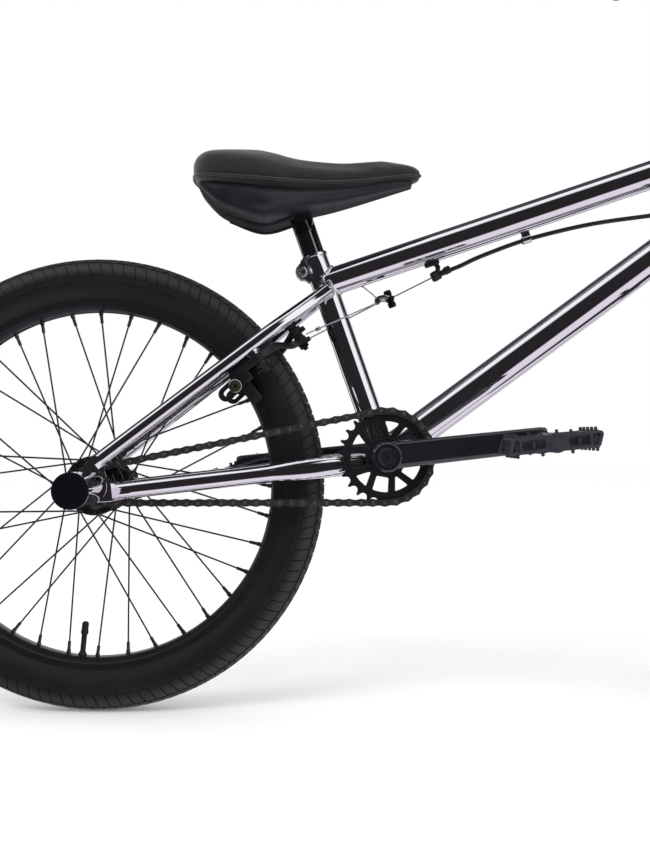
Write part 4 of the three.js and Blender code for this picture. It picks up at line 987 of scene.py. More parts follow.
def pedal_axle():
    profile = [(0, 66.5), (6.8, 66.5), (6.8, 83.3), (9.6, 83.4), (9.8, 83.8), (9.8, 88.0), (7.4, 88.6), (7.4, 91),
               (6, 92), (6, 162), (0, 162)]
    return along(turned(profile, 32), Vector((CRANK_LENGTH, 0, 0)), -Y)


def pedal():
    bulge = [(p.x, p.y) for p in circle(10.4, 9, 58, 122)]
    under = [(-x, -z) for x, z in bulge]
    outline = [(-49, -6.6), (-47.6, -8.5), (-13, -8.8), *under, (13, -8.8), (41, -8.6), (43.4, -6.6), (47.2, 4.4),
               (46.2, 7.4), (43, 8.5), (13, 8.8), *bulge, (-13, 8.8), (-40, 8.5), (-44.2, 6.8)]
    windows = [[(-45.2, -5.4), (-38, -5.4), (-38, 5.6), (-41.4, 5.6)],
               [(-35, -4.9), (-12.6, -4.9), (-11.2, 0), (-12.6, 4.9), (-35, 4.9)],
               [(12.6, -4.9), (33, -4.9), (33, 4.9), (12.6, 4.9), (11.2, 0)],
               [(36, -5.4), (40.6, -5.4), (43.6, 4.2), (42.8, 5.4), (36, 5.4)]]
    form = Form()
    for low, high in ((164.5, 170), (90.5, 96)):
        form.add(sideways(plate(outline, low, high, windows, 0.6)))
    deck = [(-39, -157), (39, -157), (39, -103), (-39, -103)]
    gaps = []
    for near, far in ((-153, -134), (-126, -107)):
        for side in (1, -1):
            gaps.append([(12 * side, near), (31 * side, near + 2), (34 * side, near + 5), (34 * side, far - 5),
                         (31 * side, far - 2), (12 * side, far)])
    form.add(plate(deck, -6.4, 6.4, gaps, 0.9))
    for side in (1, -1):
        rail = block(7, 74, 16.4, 1.2)
        form.add(rail, Matrix.Translation((40 * side, -130, 0)))
        form.add(block(3.2, 74, 9.6, 0.8), Matrix.Translation((23 * side, -130, 0)))
    barrel = [(0, 170.6), (5.2, 170.6), (5.6, 170.2), (6.6, 170.2), (7, 170.6), (9.4, 170.4), (10.2, 169.6), (10.2, 92),
              (9.6, 91), (0, 91)]
    form.add(along(turned(barrel, 56), Vector(), -Y))
    for i in range(10):
        x, z = polar(9.0, 36 * i + 8)
        lean = Matrix.Rotation(-rad(36 * i + 8), 4, "Y")
        form.add(block(1.0, 1.1, 2.6, 0.2), Matrix.Translation((x, -170.6, z)) @ lean)
    pins = Form()
    pin = turned([(0, 0), (2.5, 0), (2.5, 0.9), (1.7, 1.4), (1.7, 3.6), (1.3, 4.1), (0, 4.2)], 14)
    spots = [(x, y) for x in (40, -40) for y in (-95, -112, -130, -148, -166)]
    spots += [(x, y) for y in (-93.4, -167) for x in (15, -15)]
    for x, y in spots:
        for up in (1, -1):
            pins.add(along(pin, Vector((x, y, up * 8.1)), Z * up))
    return form, pins


def build_cranks():
    arm, bolt = crank_arm()
    body, pins = pedal()
    for word in ("right", "left"):
        stand = crank_frame(word)
        out = stand @ Matrix.Translation((CRANK_LENGTH, 0, 0)) @ Matrix.Rotation(PEDAL_TURN[word], 4, "Y")
        piece(f"crank_arm_{word}_forging", arm.moved(stand), "crank", CRANK_BLACK, [f"crank_arm_{word}"],
              sharp=38)
        piece(f"crank_bolt_{word}", bolt.moved(stand), "crank", CRANK_BLACK)
        piece(f"pedal_axle_{word}_turned", pedal_axle().moved(stand), "crank", STEEL, [f"pedal_axle_{word}"])
        piece(f"pedal_{word}_moulding", body.moved(out), f"pedal_{word}", PEDAL_NYLON,
              [f"pedal_{word}"])
        piece(f"pedal_{word}_pins", pins.moved(out), f"pedal_{word}", PEDAL_NYLON)
    spindle = straight(BRACKET - Y * 72, BRACKET + Y * 72, 9.5, sides=40)
    piece("crank_spindle_turned", spindle, "crank", STEEL, ["crank_spindle"])
    for word, side in SIDES:
        seal = [(9.7, 0), (16.6, 0), (16.6, 8.2), (15.8, 9.2), (14.2, 9.2), (13.6, 8.8), (10.6, 8.8), (9.7, 8.2)]
        piece(f"bb_bearing_{word}_seal", along(turned(seal, 48, closed=True), BRACKET + Y * side * 24.5, Y * side),
              "frame", BLACK_ANODISED, [f"bb_bearing_{word}"])


build_cranks()


# ---------------------------------------------------------------- seat
PAD_SWELL = 0.006  # metres that the cover may swell
PAD_FLOOR = (SEAT_TOP.z + 16) / 1000  # metres, so that the cover doesn't sink into its shell


def saddle(sections, power):
    """A smooth closed form through sections (x, half width, low z, high z) from the post's top."""
    rows = smooth_path([(x, w, 0) for x, w, _, _ in sections])
    levels = smooth_path([(low, high, 0) for _, _, low, high in sections])
    rings = []
    for (x, w, _), (low, high, _) in zip(rows, levels):
        rings.append([Vector((SEAT_TOP.x + x, w * c, SEAT_TOP.z + (low + high) / 2 + s * (high - low) / 2))
                      for c, s in squared_circle(56, power)])
    return loft(rings)


def seat_base():
    shell = saddle([(-112, 26, 24, 33), (-106, 42, 14, 32), (-88, 59, -3, 30), (-60, 65.5, -14.5, 27),
                    (-36, 66, -19.5, 24), (-12, 58, -12.5, 22), (10, 48, -4.5, 22), (40, 38, 2, 24), (70, 29, 10, 27),
                    (104, 21, 20, 33), (128, 13, 27, 35)], power=0.72)
    ribs = Form()
    for y in (-26, 26):
        path = [SEAT_TOP + Vector((x, y, z)) for x, z in ((-80, -6), (-50, -17.8), (-30, -18.4), (-4, -10))]
        ribs.add(sweep(smooth_path(path, 6), (2.2, 2.2), sides=10))
    return shell.add(ribs)


def seat_post():
    foot = SEAT_TOP - SEAT_UP * 170
    form = straight(foot, SEAT_TOP - SEAT_UP * 13, POST_RADIUS, 10.5)
    head = turned(rounded(-9, 9, POST_RADIUS, 1.2), 56)
    form.add(along(head, SEAT_TOP - SEAT_UP * POST_RADIUS, Y))
    form.add(straight(SEAT_TOP - SEAT_UP * 26, SEAT_TOP - SEAT_UP * 13, POST_RADIUS))
    return form


def build_seat():
    piece("seat_shell", seat_base(), "seat", NYLON, ["seat_base"])
    piece("seat_post_tube", seat_post(), "seat_post", POST_BLACK, ["seat_post"])
    cover = [(-117, 34, 34, 49), (-112, 50, 27, 57), (-98, 64, 23, 62.5), (-70, 68.5, 19, 61), (-40, 68.5, 18, 56.5),
             (0, 53, 19, 49), (40, 39, 20, 47), (70, 31, 22, 48.5), (104, 23.5, 29, 52), (126, 17, 33, 53),
             (139, 9, 38, 49)]
    pad = piece("seat_cover", saddle(cover, power=0.66), "seat", FABRIC, ["seat_pad"], sharp=80)
    stuff(pad, 20)
    # the piping runs round the cover's lower edge
    edge = [(-112, 47, 33), (-98, 61.5, 30), (-70, 67.5, 27), (-40, 68, 25), (0, 53.5, 24.5), (40, 39.5, 26),
            (70, 31.5, 29), (104, 23.5, 34.5), (126, 16.5, 38)]
    loop = [SEAT_TOP + Vector(p) for p in edge] + [SEAT_TOP + Vector((138.5, 0, 41))]
    loop += [SEAT_TOP + Vector((x, -y, z)) for x, y, z in reversed(edge)] + [SEAT_TOP + Vector((-118, 0, 34))]
    path = smooth_path([*loop, loop[0]], 6)[:-1]
    piece("seat_piping", sweep(path, (1.5, 1.5), sides=10, closed=True), "seat", FABRIC, sharp=80)


def stuff(pad, frames):
    """Blows the pad up a little as cloth with air inside, so its cover is taut and crowned."""
    scene = bpy.context.scene
    remesh = pad.modifiers.new("even", "REMESH")
    remesh.mode = "VOXEL"
    remesh.voxel_size = 0.0045
    cloth = pad.modifiers.new("cloth", "CLOTH")
    cloth.settings.use_pressure = True
    cloth.settings.uniform_pressure_force = 3.0
    cloth.settings.tension_stiffness = 40
    cloth.settings.bending_stiffness = 4
    cloth.settings.effector_weights.gravity = 0
    cloth.point_cache.frame_start = 1
    cloth.point_cache.frame_end = frames
    for number in range(1, frames + 1):
        scene.frame_set(number)
    graph = bpy.context.evaluated_depsgraph_get()
    blown = [v.co.copy() for v in pad.evaluated_get(graph).data.vertices]
    pad.modifiers.remove(cloth)
    graph = bpy.context.evaluated_depsgraph_get()
    mesh = bpy.data.meshes.new_from_object(pad.evaluated_get(graph))
    pad.modifiers.clear()
    scene.frame_set(1)
    for vertex, target in zip(mesh.vertices, blown):
        move = target - vertex.co
        if move.length > PAD_SWELL:
            move *= PAD_SWELL / move.length
        vertex.co += move
        vertex.co.z = max(vertex.co.z, PAD_FLOOR)
    mesh.materials.clear()
    mesh.materials.append(FABRIC)
    mesh.shade_smooth()
    pad.data = mesh
    modifier = pad.modifiers.new("smooth", "SUBSURF")
    modifier.levels = modifier.render_levels = 1


build_seat()


# ---------------------------------------------------------------- fork, stem and handlebar
# Made in the steering frame: +Z up the steering axis from the head tube's middle, +X ahead of it.
STEERING = frame_of(HEAD, UP, AHEAD)
STEERER_RADIUS = 14.3
CLAMP_AHEAD, CLAMP_UP = 52, 118
CROSSBAR_RADIUS = 8.0
BAR_RADIUS, GRIP_INNER = 11.1, 0.25
BAR_CORNERS = [Vector((CLAMP_AHEAD, 82, CLAMP_UP)), Vector((CLAMP_AHEAD, 178, 333)), Vector((16.2, 362, 339.4))]
LEVER_AT = STEERING.inverted() @ pivot("brake_lever_pull")


def steering_piece(name, form, material, stands_for=(), body="steering", sharp=34):
    return piece(name, form.moved(STEERING), body, material, stands_for, sharp)


def ring_profile(bore, outer, low, high, edge=0.6):
    return [(bore, low), (outer - edge, low), (outer, low + edge), (outer, high - edge), (outer - edge, high),
            (bore, high)]


def fork_leg(side):
    way = [(0, 10, -79, 12), (0, 24, -81.5, 13), (0, 38, -89, 14.2), (0, 47.5, -103, 15), (1, 51.2, -128, 15),
           (2.5, 52, -160, 14.8), (8, 53, -250, 13), (17, 53, -366, 9.6), (18, 53, -374, 7.5), (18.4, 53, -377, 3)]
    path = smooth_path([(x, y * side, z) for x, y, z, _ in way], 6)
    sizes = [(r, r) for r, _, _ in smooth_path([(r, 0, 0) for _, _, _, r in way], 6)]
    form = sweep(path, sizes, sides=40, first=X)
    x, z = 33, -392
    slot = [(p.x + x, p.y + z) for p in circle(5.4, 9, 180, 0)]
    outline = [(x - 5.4, z - 20), *slot, (x + 5.4, z - 20), (x + 10, z - 20), (x + 15, z - 15), (x + 17, z - 8),
               (x + 17, z + 6), (x + 14, z + 13), (x + 4, z + 22), (x - 1, z + 38), (x - 6, z + 56), (x - 26, z + 58),
               (x - 22, z + 30), (x - 20, z + 14), (x - 19, z - 4), (x - 15, z - 14), (x - 11, z - 20)]
    low, high = sorted((-side * FRONT_PLATE[0], -side * FRONT_PLATE[1]))
    return form.add(sideways(plate(outline, low, high, edge=0.8)))


def build_fork():
    for word, side in SIDES:
        steering_piece(f"fork_leg_{word}_tube", fork_leg(side), CRANK_BLACK, [f"fork_leg_{word}"])
    steerer = [(11.5, -94), (18.8, -94), (19.5, -93.3), (20, -68.6), (19.6, -68), (STEERER_RADIUS, -68),
               (STEERER_RADIUS, 136), (11.5, 136)]
    steering_piece("fork_steerer_tube", turned(steerer, 56, closed=True), CRANK_BLACK, ["fork_steerer"])
    lower = [(14.7, -67.4), (20, -67.4), (20.4, -67), (22.6, -59), (23.2, -58.4), (23.2, -56), (22.6, -55.3),
             (14.7, -55.3)]
    steering_piece("headset_cup_lower_turned", turned(lower, 64, closed=True), BLACK_ANODISED,
                   ["headset_cup_lower"], "frame")
    upper = [(r, -h) for r, h in reversed(lower)]
    steering_piece("headset_cup_upper_turned", turned(upper, 64, closed=True), BLACK_ANODISED,
                   ["headset_cup_upper"], "frame")


def stem_half(side):
    """The body behind the bar's middle or the face plate in front of it."""
    form = Form()
    sweep_from, sweep_to = (94, 266) if side < 0 else (-86, 86)
    outer = [(p.x + CLAMP_AHEAD, p.y + CLAMP_UP) for p in circle(19, 40, sweep_from, sweep_to)]
    inner = [(p.x + CLAMP_AHEAD, p.y + CLAMP_UP) for p in circle(11.4, 40, sweep_from, sweep_to)]
    form.add(sideways(plate([*outer, *reversed(inner)], -25, 25, edge=0.7)))
    if side < 0:
        form.add(block(30, 33, 29, 3.2), Matrix.Translation((30, 0, CLAMP_UP)))
        post = [(14.4, 99.4), (18.6, 99.4), (20, 100.8), (20, 135.2), (18.6, 136.6), (14.4, 136.6)]
        form.add(turned(post, 64, closed=True))
        for z in (107, 129):
            form.add(along(turned(ring_profile(2.2, 6.4, 0, 26, 1.0), 28, closed=True), Vector((-21.5, -13, z)), Y))
    return form


def build_stem():
    steering_piece("stem_body", stem_half(-1), BLACK_ANODISED, ["stem"])
    steering_piece("stem_face_plate_milled", stem_half(1), BLACK_ANODISED, ["stem_face_plate"])
    bolts = Form()
    for y in (-16, 16):
        for z in (105.5, 130.5):
            bolts.add(along(socket_head(4.2, 4.2, 2.1, 2.4), Vector((66.4, y, z)), X))
    for z in (107, 129):
        bolts.add(along(socket_head(4.2, 4.4, 2.1, 2.4), Vector((-21.5, -13.2, z)), -Y))
        bolts.add(along(hex_nut(7.5, 3.6, 2.0), Vector((-21.5, 13.2, z)), Y))
    cap = [(0, 136.9), (18.4, 136.9), (19.4, 137.6), (19.4, 138.8), (18.2, 140), (7, 140.6), (6, 139.6), (0, 139.6)]
    steering_piece("stem_cap", turned(cap, 56), BLACK_ANODISED)
    bolts.add(along(socket_head(4.6, 3.2, 2.4, 2.2), Vector((0, 0, 139.4)), Z))
    steering_piece("stem_bolts", bolts, STEEL)


def on_side(point, side):
    """A point given for the left side, carried to a side."""
    return Vector((point.x, point.y * side, point.z))


def bar_path():
    right = [on_side(p, -1) for p in reversed(BAR_CORNERS)]
    return bent([*right, *BAR_CORNERS], [30, 32, 32, 30], 12)


def on_bar(side, share):
    return on_side(BAR_CORNERS[1].lerp(BAR_CORNERS[2], share), side)


def build_handlebar():
    steering_piece("handlebar_tube", sweep(bar_path(), (BAR_RADIUS, BAR_RADIUS), sides=40, first=X), CHROME,
                   ["handlebar"], sharp=50)
    end = BAR_CORNERS[0].lerp(BAR_CORNERS[1], 0.62)
    other = on_side(end, -1)
    steering_piece("handlebar_crossbar_tube", straight(other, end, CROSSBAR_RADIUS, sides=48), CHROME,
                   ["handlebar_crossbar"], sharp=50)
    beads = Form()
    for side in (1, -1):
        low, high = (on_side(p, side) for p in BAR_CORNERS[:2])
        way = (end - other) * side
        beads.add(weld((end + other) / 2, way, CROSSBAR_RADIUS, low, high - low, BAR_RADIUS, *FINE_BEAD))
    steering_piece("crossbar_weld_beads", beads, CHROME, sharp=60)


def grip(side):
    """A ribbed rubber sleeve with a flange at its inner end and a plug in its outer one."""
    start, end = on_bar(side, GRIP_INNER), on_bar(side, 1)
    length = (end - start).length
    profile = [(11.5, 0), (20.8, 0), (22, 0.9), (22, 2.6), (21, 3.4), (16.4, 4.4)]
    ribs = 34
    for i in range(ribs):
        at = 6 + (length - 12) * i / ribs
        step = (length - 12) / ribs
        profile += [(15.6, at), (15.6, at + step * 0.42), (14.3, at + step * 0.55), (14.3, at + step * 0.88)]
    profile += [(15.6, length - 5), (16.8, length - 3), (17, length + 2.6), (16.2, length + 4.2), (11.5, length + 4.2)]
    sleeve = along(turned(profile, 56, closed=True), start, end - start)
    plug = along(turned([(0, length - 8), (10.8, length - 8), (10.8, length + 4.1), (11.8, length + 4.2),
                         (11.6, length + 4.8), (9, length + 5.6), (0, length + 5.8)], 40), start, end - start)
    return sleeve, plug


def build_grips():
    for word, side in SIDES:
        sleeve, plug = grip(side)
        steering_piece(f"grip_{word}_sleeve", sleeve, GRIP, [f"grip_{word}"], sharp=28)
        steering_piece(f"grip_{word}_plug", plug, CAP)


def build_lever():
    x, y, z = LEVER_AT
    inner, outer = on_bar(-1, 0.16), on_bar(-1, 0.24)
    width = (outer - inner).length
    clamp = along(turned(ring_profile(11.4, 15.5, 0, width, 0.9), 48, closed=True), inner, outer - inner)
    pad = block(16, 13, 11, 1.6).moved(Matrix.Translation((x - 10, y + 8, z)))
    for up in (1, -1):
        cheek = plate([(-9, 16), (-11, 4), (-6, -5), (0, -6.6), (5, -5), (6.6, 0), (6, 9), (5, 16)], 3.5, 6.2, edge=0.5)
        pad.add(cheek.moved(Matrix.Translation((x, y, z - (0 if up > 0 else 9.7)))))
    barrel = [(0, 0), (5.2, 0), (5.6, 0.6), (5.6, 7), (4.4, 8), (4.4, 14), (4.9, 14.4), (4.9, 17.6), (0, 17.8)]
    bracket = joined(clamp, pad, along(turned(barrel, 28), Vector((x + 4, y + 12.4, z)), Y))
    steering_piece("lever_bracket_casting", bracket, BLACK_ANODISED, ["lever_bracket"])
    pin = straight((x, y, z - 6.6), (x, y, z + 6.6), 2.5, sides=20)
    pin.add(along(socket_head(3.9, 1.8, 1.6, 1.1), Vector((x, y, z + 6.1)), Z))
    bolt = along(socket_head(3.6, 3.6, 1.8, 2.0), inner.lerp(outer, 0.5) + Vector((3, 0, -15)), -Z)
    steering_piece("lever_pivot_pin", joined(pin, bolt), STEEL)
    outline = smooth_path([(5, 6, 0), (8.5, -5, 0), (18, -26, 0), (23.4, -54, 0), (22.2, -84, 0), (24.4, -94, 0),
                           (21.5, -99, 0), (16.4, -97.5, 0), (13.6, -88, 0), (14.2, -60, 0), (9.6, -34, 0), (0, -14, 0),
                           (-3.8, -5, 0), (-3.6, 3, 0), (0, 6.6, 0)], 4)
    blade = plate([(p.x, p.y) for p in outline], -3.1, 3.1, [circle(2.7, 16)], 1.3)
    steering_piece("brake_lever_blade", blade.moved(Matrix.Translation((x, y, z))), BLACK_ANODISED,
                   ["brake_lever"], "brake_lever")


def build_rotor():
    bearing = [(14.7, 69.2), (29.4, 69.2), (31, 69.8), (33, 72), (33, 75), (32, 76.4), (30, 77), (14.7, 77)]
    steering_piece("rotor_bearing_ring", turned(bearing, 64, closed=True), BLACK_ANODISED,
                   ["rotor_bearing"], "rotor")
    arcs = [[(p.x, p.y) for p in circle(18, 12, start, start + 110)] for start in (-55, 125)]
    outline = [*arcs[0], (9, 38), (6, 41), (-6, 41), (-9, 38), *arcs[1], (-9, -38), (-6, -41), (6, -41), (9, -38)]
    holes = [circle(14.7, 40), [(p.x, p.y + 34) for p in circle(2.6, 16)], [(p.x, p.y - 34) for p in circle(2.6, 16)]]
    steering_piece("rotor_plate_stamped", plate(outline, 88, 91, holes, 0.5), BLACK_ANODISED,
                   ["rotor_top_plate"])
    wires = Form()
    for side in (-1, 1):
        wires.add(straight((0, 34 * side, 78.4), (0, 34 * side, 88), 0.8, sides=10))
        wires.add(along(turned(ring_profile(0, 2.5, 0, 5.5, 0.6), 16), Vector((0, 31.2 * side, 73)), Z))
    steering_piece("rotor_wires_upper", wires, STEEL)
    spacer = [(14.6, 83.4), (17.8, 83.4), (18.2, 84), (18.2, 87), (17.8, 87.6), (14.6, 87.6)]
    steering_piece("rotor_spacer", turned(spacer, 48, closed=True), BLACK_ANODISED)
    washer = [(14.6, 91.4), (18.6, 91.4), (19, 92), (19, 98.4), (18.6, 99), (14.6, 99)]
    steering_piece("headset_spacer", turned(washer, 48, closed=True), BLACK_ANODISED)


def split_cable(main, split, legs):
    """A housing that ends in a splitter, and the two thinner housings that leave it."""
    form = sweep(smooth_path(main, 10), (2.5, 2.5), sides=16)
    start, end = (Vector(p) for p in split)
    body = [(0, 0), (3.4, 0), (4.6, 1.4), (5, 3), (5, 14.5), (4.4, 16), (3.6, 16.6), (0, 16.8)]
    form.add(along(turned(body, 28), start, end - start))
    for leg in legs:
        form.add(sweep(smooth_path(leg, 10), (2.1, 2.1), sides=14))
        tip, before = Vector(leg[-1]), Vector(leg[-2])
        ferrule = [(0, -9), (2.6, -9), (3.0, -8.4), (3.0, -0.6), (2.6, 0), (0, 0)]
        form.add(along(turned(ferrule, 20), tip, tip - before))
    return form


def build_cables():
    x, y, z = LEVER_AT
    main = [(x + 4, y + 30.3, z), (x + 8, -140, z - 2), (x + 20, -80, z - 26), (x + 24, -30, z - 74),
            (x + 16, -4, z - 118), (x + 12, 0, z - 146)]
    legs = [[(x + 12, s * 2.4, z - 157), (x + 2, s * 16, z - 176), (60, s * 31, 143), (36, s * 36, 132),
             (12, s * 36, 116), (1, s * 34, 104), (0, s * 34, 91.4)] for s in (-1, 1)]
    upper = split_cable(main, ((x + 12, 0, z - 143), (x + 12, 0, z - 160)), legs)
    steering_piece("upper_brake_housing", upper, HOUSING, ["upper_brake_cable"])
    main = [rear(390, 240.8), rear(410, 248.5), rear(433, 259.2), rear(478, 276), rear(524, 288.5), rear(570, 298),
            rear(632, 306.5)]
    legs = [[rear(641, 308, s * 2.4), rear(668, 316, s * 20), rear(694, 332, s * 31), steered(-18, s * 36, -20),
             steered(-2, s * 34, 12), steered(0, s * 34, 39.7)] for s in (-1, 1)]
    lower = split_cable(main, (rear(626.5, 305.6), rear(643, 308.3)), legs)
    lower.add(along(turned([(0, 0), (3.1, 0), (3.5, 0.5), (3.5, 8.4), (3.1, 9), (0, 9)], 20), rear(389, 240.2), PULL))
    piece("lower_brake_housing", lower, "frame", HOUSING, ["lower_brake_cable"])
    # a plated clip hangs the housing under the top tube, and thin wires run on to the rotor's lower ears
    along_tube = (TOP_END - SEAT_JUNCTION).normalized()
    clip = along(turned(ring_profile(2.7, 4.4, -5.2, 5.2, 0.6), 28, closed=True), rear(485.6, 278.2), along_tube, Z)
    clip.add(block(10, 3.6, 7.4, 0.8), frame_of(rear(484.8, 284.4), Y.cross(along_tube) * -1, along_tube))
    piece("housing_clip", clip, "frame", CHROME, sharp=40)
    wires = Form()
    for side in (-1, 1):
        wires.add(straight(steered(0, 34 * side, 44), steered(0, 33.5 * side, 69), 0.75, sides=8))
        wires.add(along(turned(ring_profile(1.0, 3.4, 0, 6, 0.6), 20, closed=True), steered(0, 34 * side, 44.2), UP))
    piece("rotor_wires_lower", wires, "frame", STEEL)


build_fork()
build_stem()
build_handlebar()
build_grips()
build_lever()
build_rotor()
build_cables()


# ---------------------------------------------------------------- U-brake
# Made in the brake's frame: +X across to the left, +Y up the stays, +Z out of their front side.
STAY_FRONT = Vector((STAY_WAY.z, 0, -STAY_WAY.x))
BRAKE = Matrix((Y, STAY_WAY, STAY_FRONT)).transposed().to_4x4()
BRAKE.translation = BRAKE_PIVOT
ASIDE = pivot("brake_arm_left_swing").y
SHOE_UP, SHOE_OUT = -28.0, 24.4
HANGER = rear(330, 211)
CABLE_STOP = rear(384, 238)


def brake_piece(name, form, body, material, stands_for=()):
    return piece(name, form.moved(BRAKE), body, material, stands_for, sharp=34)


def long_round(half, radius, count):
    """An outline along X with round ends whose middles are half from the origin."""
    front = [(half + p.x, p.y) for p in circle(radius, count, -90, 90)]
    return front + [(p.x - half, p.y) for p in circle(radius, count, 90, 270)]


def bowed(form, side):
    """The right arm stands close to the stay and steps outwards over the left one, which bows the other way."""
    for point in form.points:
        if side > 0:
            point.z += 4.5 * math.sin(math.pi * min(max(point.y + 6, 0), 52) / 52)
        else:
            t = min(max((point.y - 24) / 18, 0), 1)
            point.z += (t * t * (3 - 2 * t) - 1) * (9.6 if point.z < 24.6 else 8.0)
    return form


def brake_arm(side):
    low = 11.8 if side > 0 else 20.8
    a = ASIDE
    corners = [(a + 9.4, -4), (a + 8, 8), (a - 1, 21), (a - 16, 36), (2, 47.5), (-12, 56.5), (-20, 60), (-27.5, 57),
               (-28, 49), (-22, 45), (-12, 43), (3, 35), (a - 20, 23), (a - 10.5, 9), (a - 9, -3), (a - 7, -14),
               (a - 6.4, -32), (a - 2, -36), (a + 5, -35), (a + 7.4, -20)]
    loop = smooth_path([(x * side, y, 0) for x, y in corners + corners[:1]], 4)[:-1]
    body = bowed(plate([(p.x, p.y) for p in loop], low, low + 7.6, edge=1.9), side)
    hub = [(5.1, 11.2), (9.4, 11.2), (10, 11.8), (10, 20), (9.4, 20.8), (7.2, 20.8), (7.2, 27.8), (6.8, 28.4),
           (5.1, 28.4)]
    body.add(turned(hub, 40, closed=True), Matrix.Translation((a * side, 0, 0)))
    bridge = block(12, 22, 20, 2.4)
    body.add(bridge, Matrix.Translation((side * (a - 1), SHOE_UP + 2, 20.5)))
    # the slotted carrier that the shoe's bolt slides in
    ends = long_round(9.5, 8.2, 14)
    carrier = plate(ends, 0, 4.2, [long_round(8.5, 3.2, 10)], 0.8)
    rim = plate(ends, 3.8, 5.6, [[(x * 0.86, y * 0.74) for x, y in ends]], 0.4)
    stand = frame_of(Vector((side * (a + 5.2), SHOE_UP - 13, 25.5)), Vector((side, 0, 0)), Vector((0, 1, -0.1)))
    body.add(joined(carrier, rim), stand)
    return body


def brake_shoe(side):
    inner, outer = 20.8, 31.2
    middle = Vector((side * (inner + outer) / 2, SHOE_UP - 0.9, SHOE_OUT))
    return block(outer - inner, 9.6, 45, 1.6).moved(Matrix.Translation(middle))


def shoe_holder(side):
    form = block(6.6, 13.6, 54, 1.2).moved(Matrix.Translation((side * 34.4, SHOE_UP, SHOE_OUT + 2)))
    for z in (-19, -7, 9, 21):
        form.add(along(turned(rounded(0, 0.9, 1.6, 0.3), 14), Vector((side * 37.6, SHOE_UP, SHOE_OUT + z)), X * side))
    return form


def pivot_bolt(side):
    """A socket bolt that holds the arm on its stud, over a washer."""
    washer = turned(rounded(28.6, 29.8, 8.6, 0.3), 32)
    head = socket_head(5.6, 4.6, 2.7, 2.8, 36).moved(Matrix.Translation((0, 0, 29.7)))
    return joined(washer, head).moved(Matrix.Translation((side * ASIDE, 0, 0)))


def shoe_bolt(side):
    at = Vector((side * (ASIDE + 10.9), SHOE_UP - 8.9, 25.6))
    washer = along(turned([(3.4, 0), (6.9, 0), (7.3, 0.4), (7.3, 1.2), (6.6, 1.7), (3.4, 1.7)], 32, closed=True), at,
                   X * side)
    head = along(socket_head(4.9, 4.4, 2.3, 2.4, 30), at + Vector((side * 1.4, 0, 0)), X * side)
    return washer, head


def spring(side):
    """A torsion spring round the pivot, with a tail that bears on the stay."""
    turns, steps = 3.1, 56
    path = []
    for i in range(steps + 1):
        angle = 2 * math.pi * turns * i / steps
        path.append(Vector((math.cos(angle) * 8.6 * side, math.sin(angle) * 8.6, 22.0 + 5.4 * i / steps)))
    path.append(path[-1] + Vector((side * 2, -7, 2)))
    path.append(path[-1] + Vector((-side * 1, -7, 0)))
    return sweep(path, (0.85, 0.85), sides=8, first=Z).moved(Matrix.Translation((side * ASIDE, 0, 0)))


def cable_anchor(side):
    """The bolt, nut and washers that grip the straddle wire at an arm's end."""
    low = 12.6 if side > 0 else 21.6
    at = Vector((-21 * side, 52, low))
    form = along(hex_nut(9.6, 4.4, 2.4), at + Vector((0, 0, 8.0)), Z)
    form.add(along(turned(rounded(6.8, 8.2, 5.8, 0.3), 28), at, Z))
    form.add(along(turned(rounded(12.2, 15.0, 2.8, 0.5), 20), at, Z))
    form.add(along(hex_nut(9.0, 3.6, 0.4), at - Vector((0, 0, 3.4)), Z))
    lean = Matrix.Rotation(rad(20 * side), 4, "Z")
    form.add(block(5.5, 11, 5.5, 0.8), Matrix.Translation((-26 * side, 57.6, low + 6)) @ lean)
    return form


def build_brake():
    for word, side in SIDES:
        body = f"brake_arm_{word}"
        brake_piece(f"{body}_casting", brake_arm(side), body, BLACK_ANODISED, [body])
        brake_piece(f"{body}_shoe", brake_shoe(side), body, GRIP)
        brake_piece(f"{body}_shoe_holder", shoe_holder(side), body, NYLON)
        brake_piece(f"{body}_pivot_bolt", pivot_bolt(side), "frame", BLACK_ANODISED)
        washer, head = shoe_bolt(side)
        brake_piece(f"{body}_shoe_washer", washer, body, STEEL)
        brake_piece(f"{body}_shoe_bolt", head, body, BRASS_BOLT)
        brake_piece(f"{body}_spring", spring(side), "frame", BLACK_GLOSS)
        brake_piece(f"{body}_wire_anchor", cable_anchor(side), body, BLACK_ANODISED)
        boss = [(0, 6), (9.5, 6), (9.0, 8.6), (7.7, 9.4), (7.7, 10.4), (0, 10.4)]
        brake_piece(f"{body}_stay_boss", turned(boss, 36).moved(Matrix.Translation((side * ASIDE, 0, 0))), "frame",
                    CHROME)


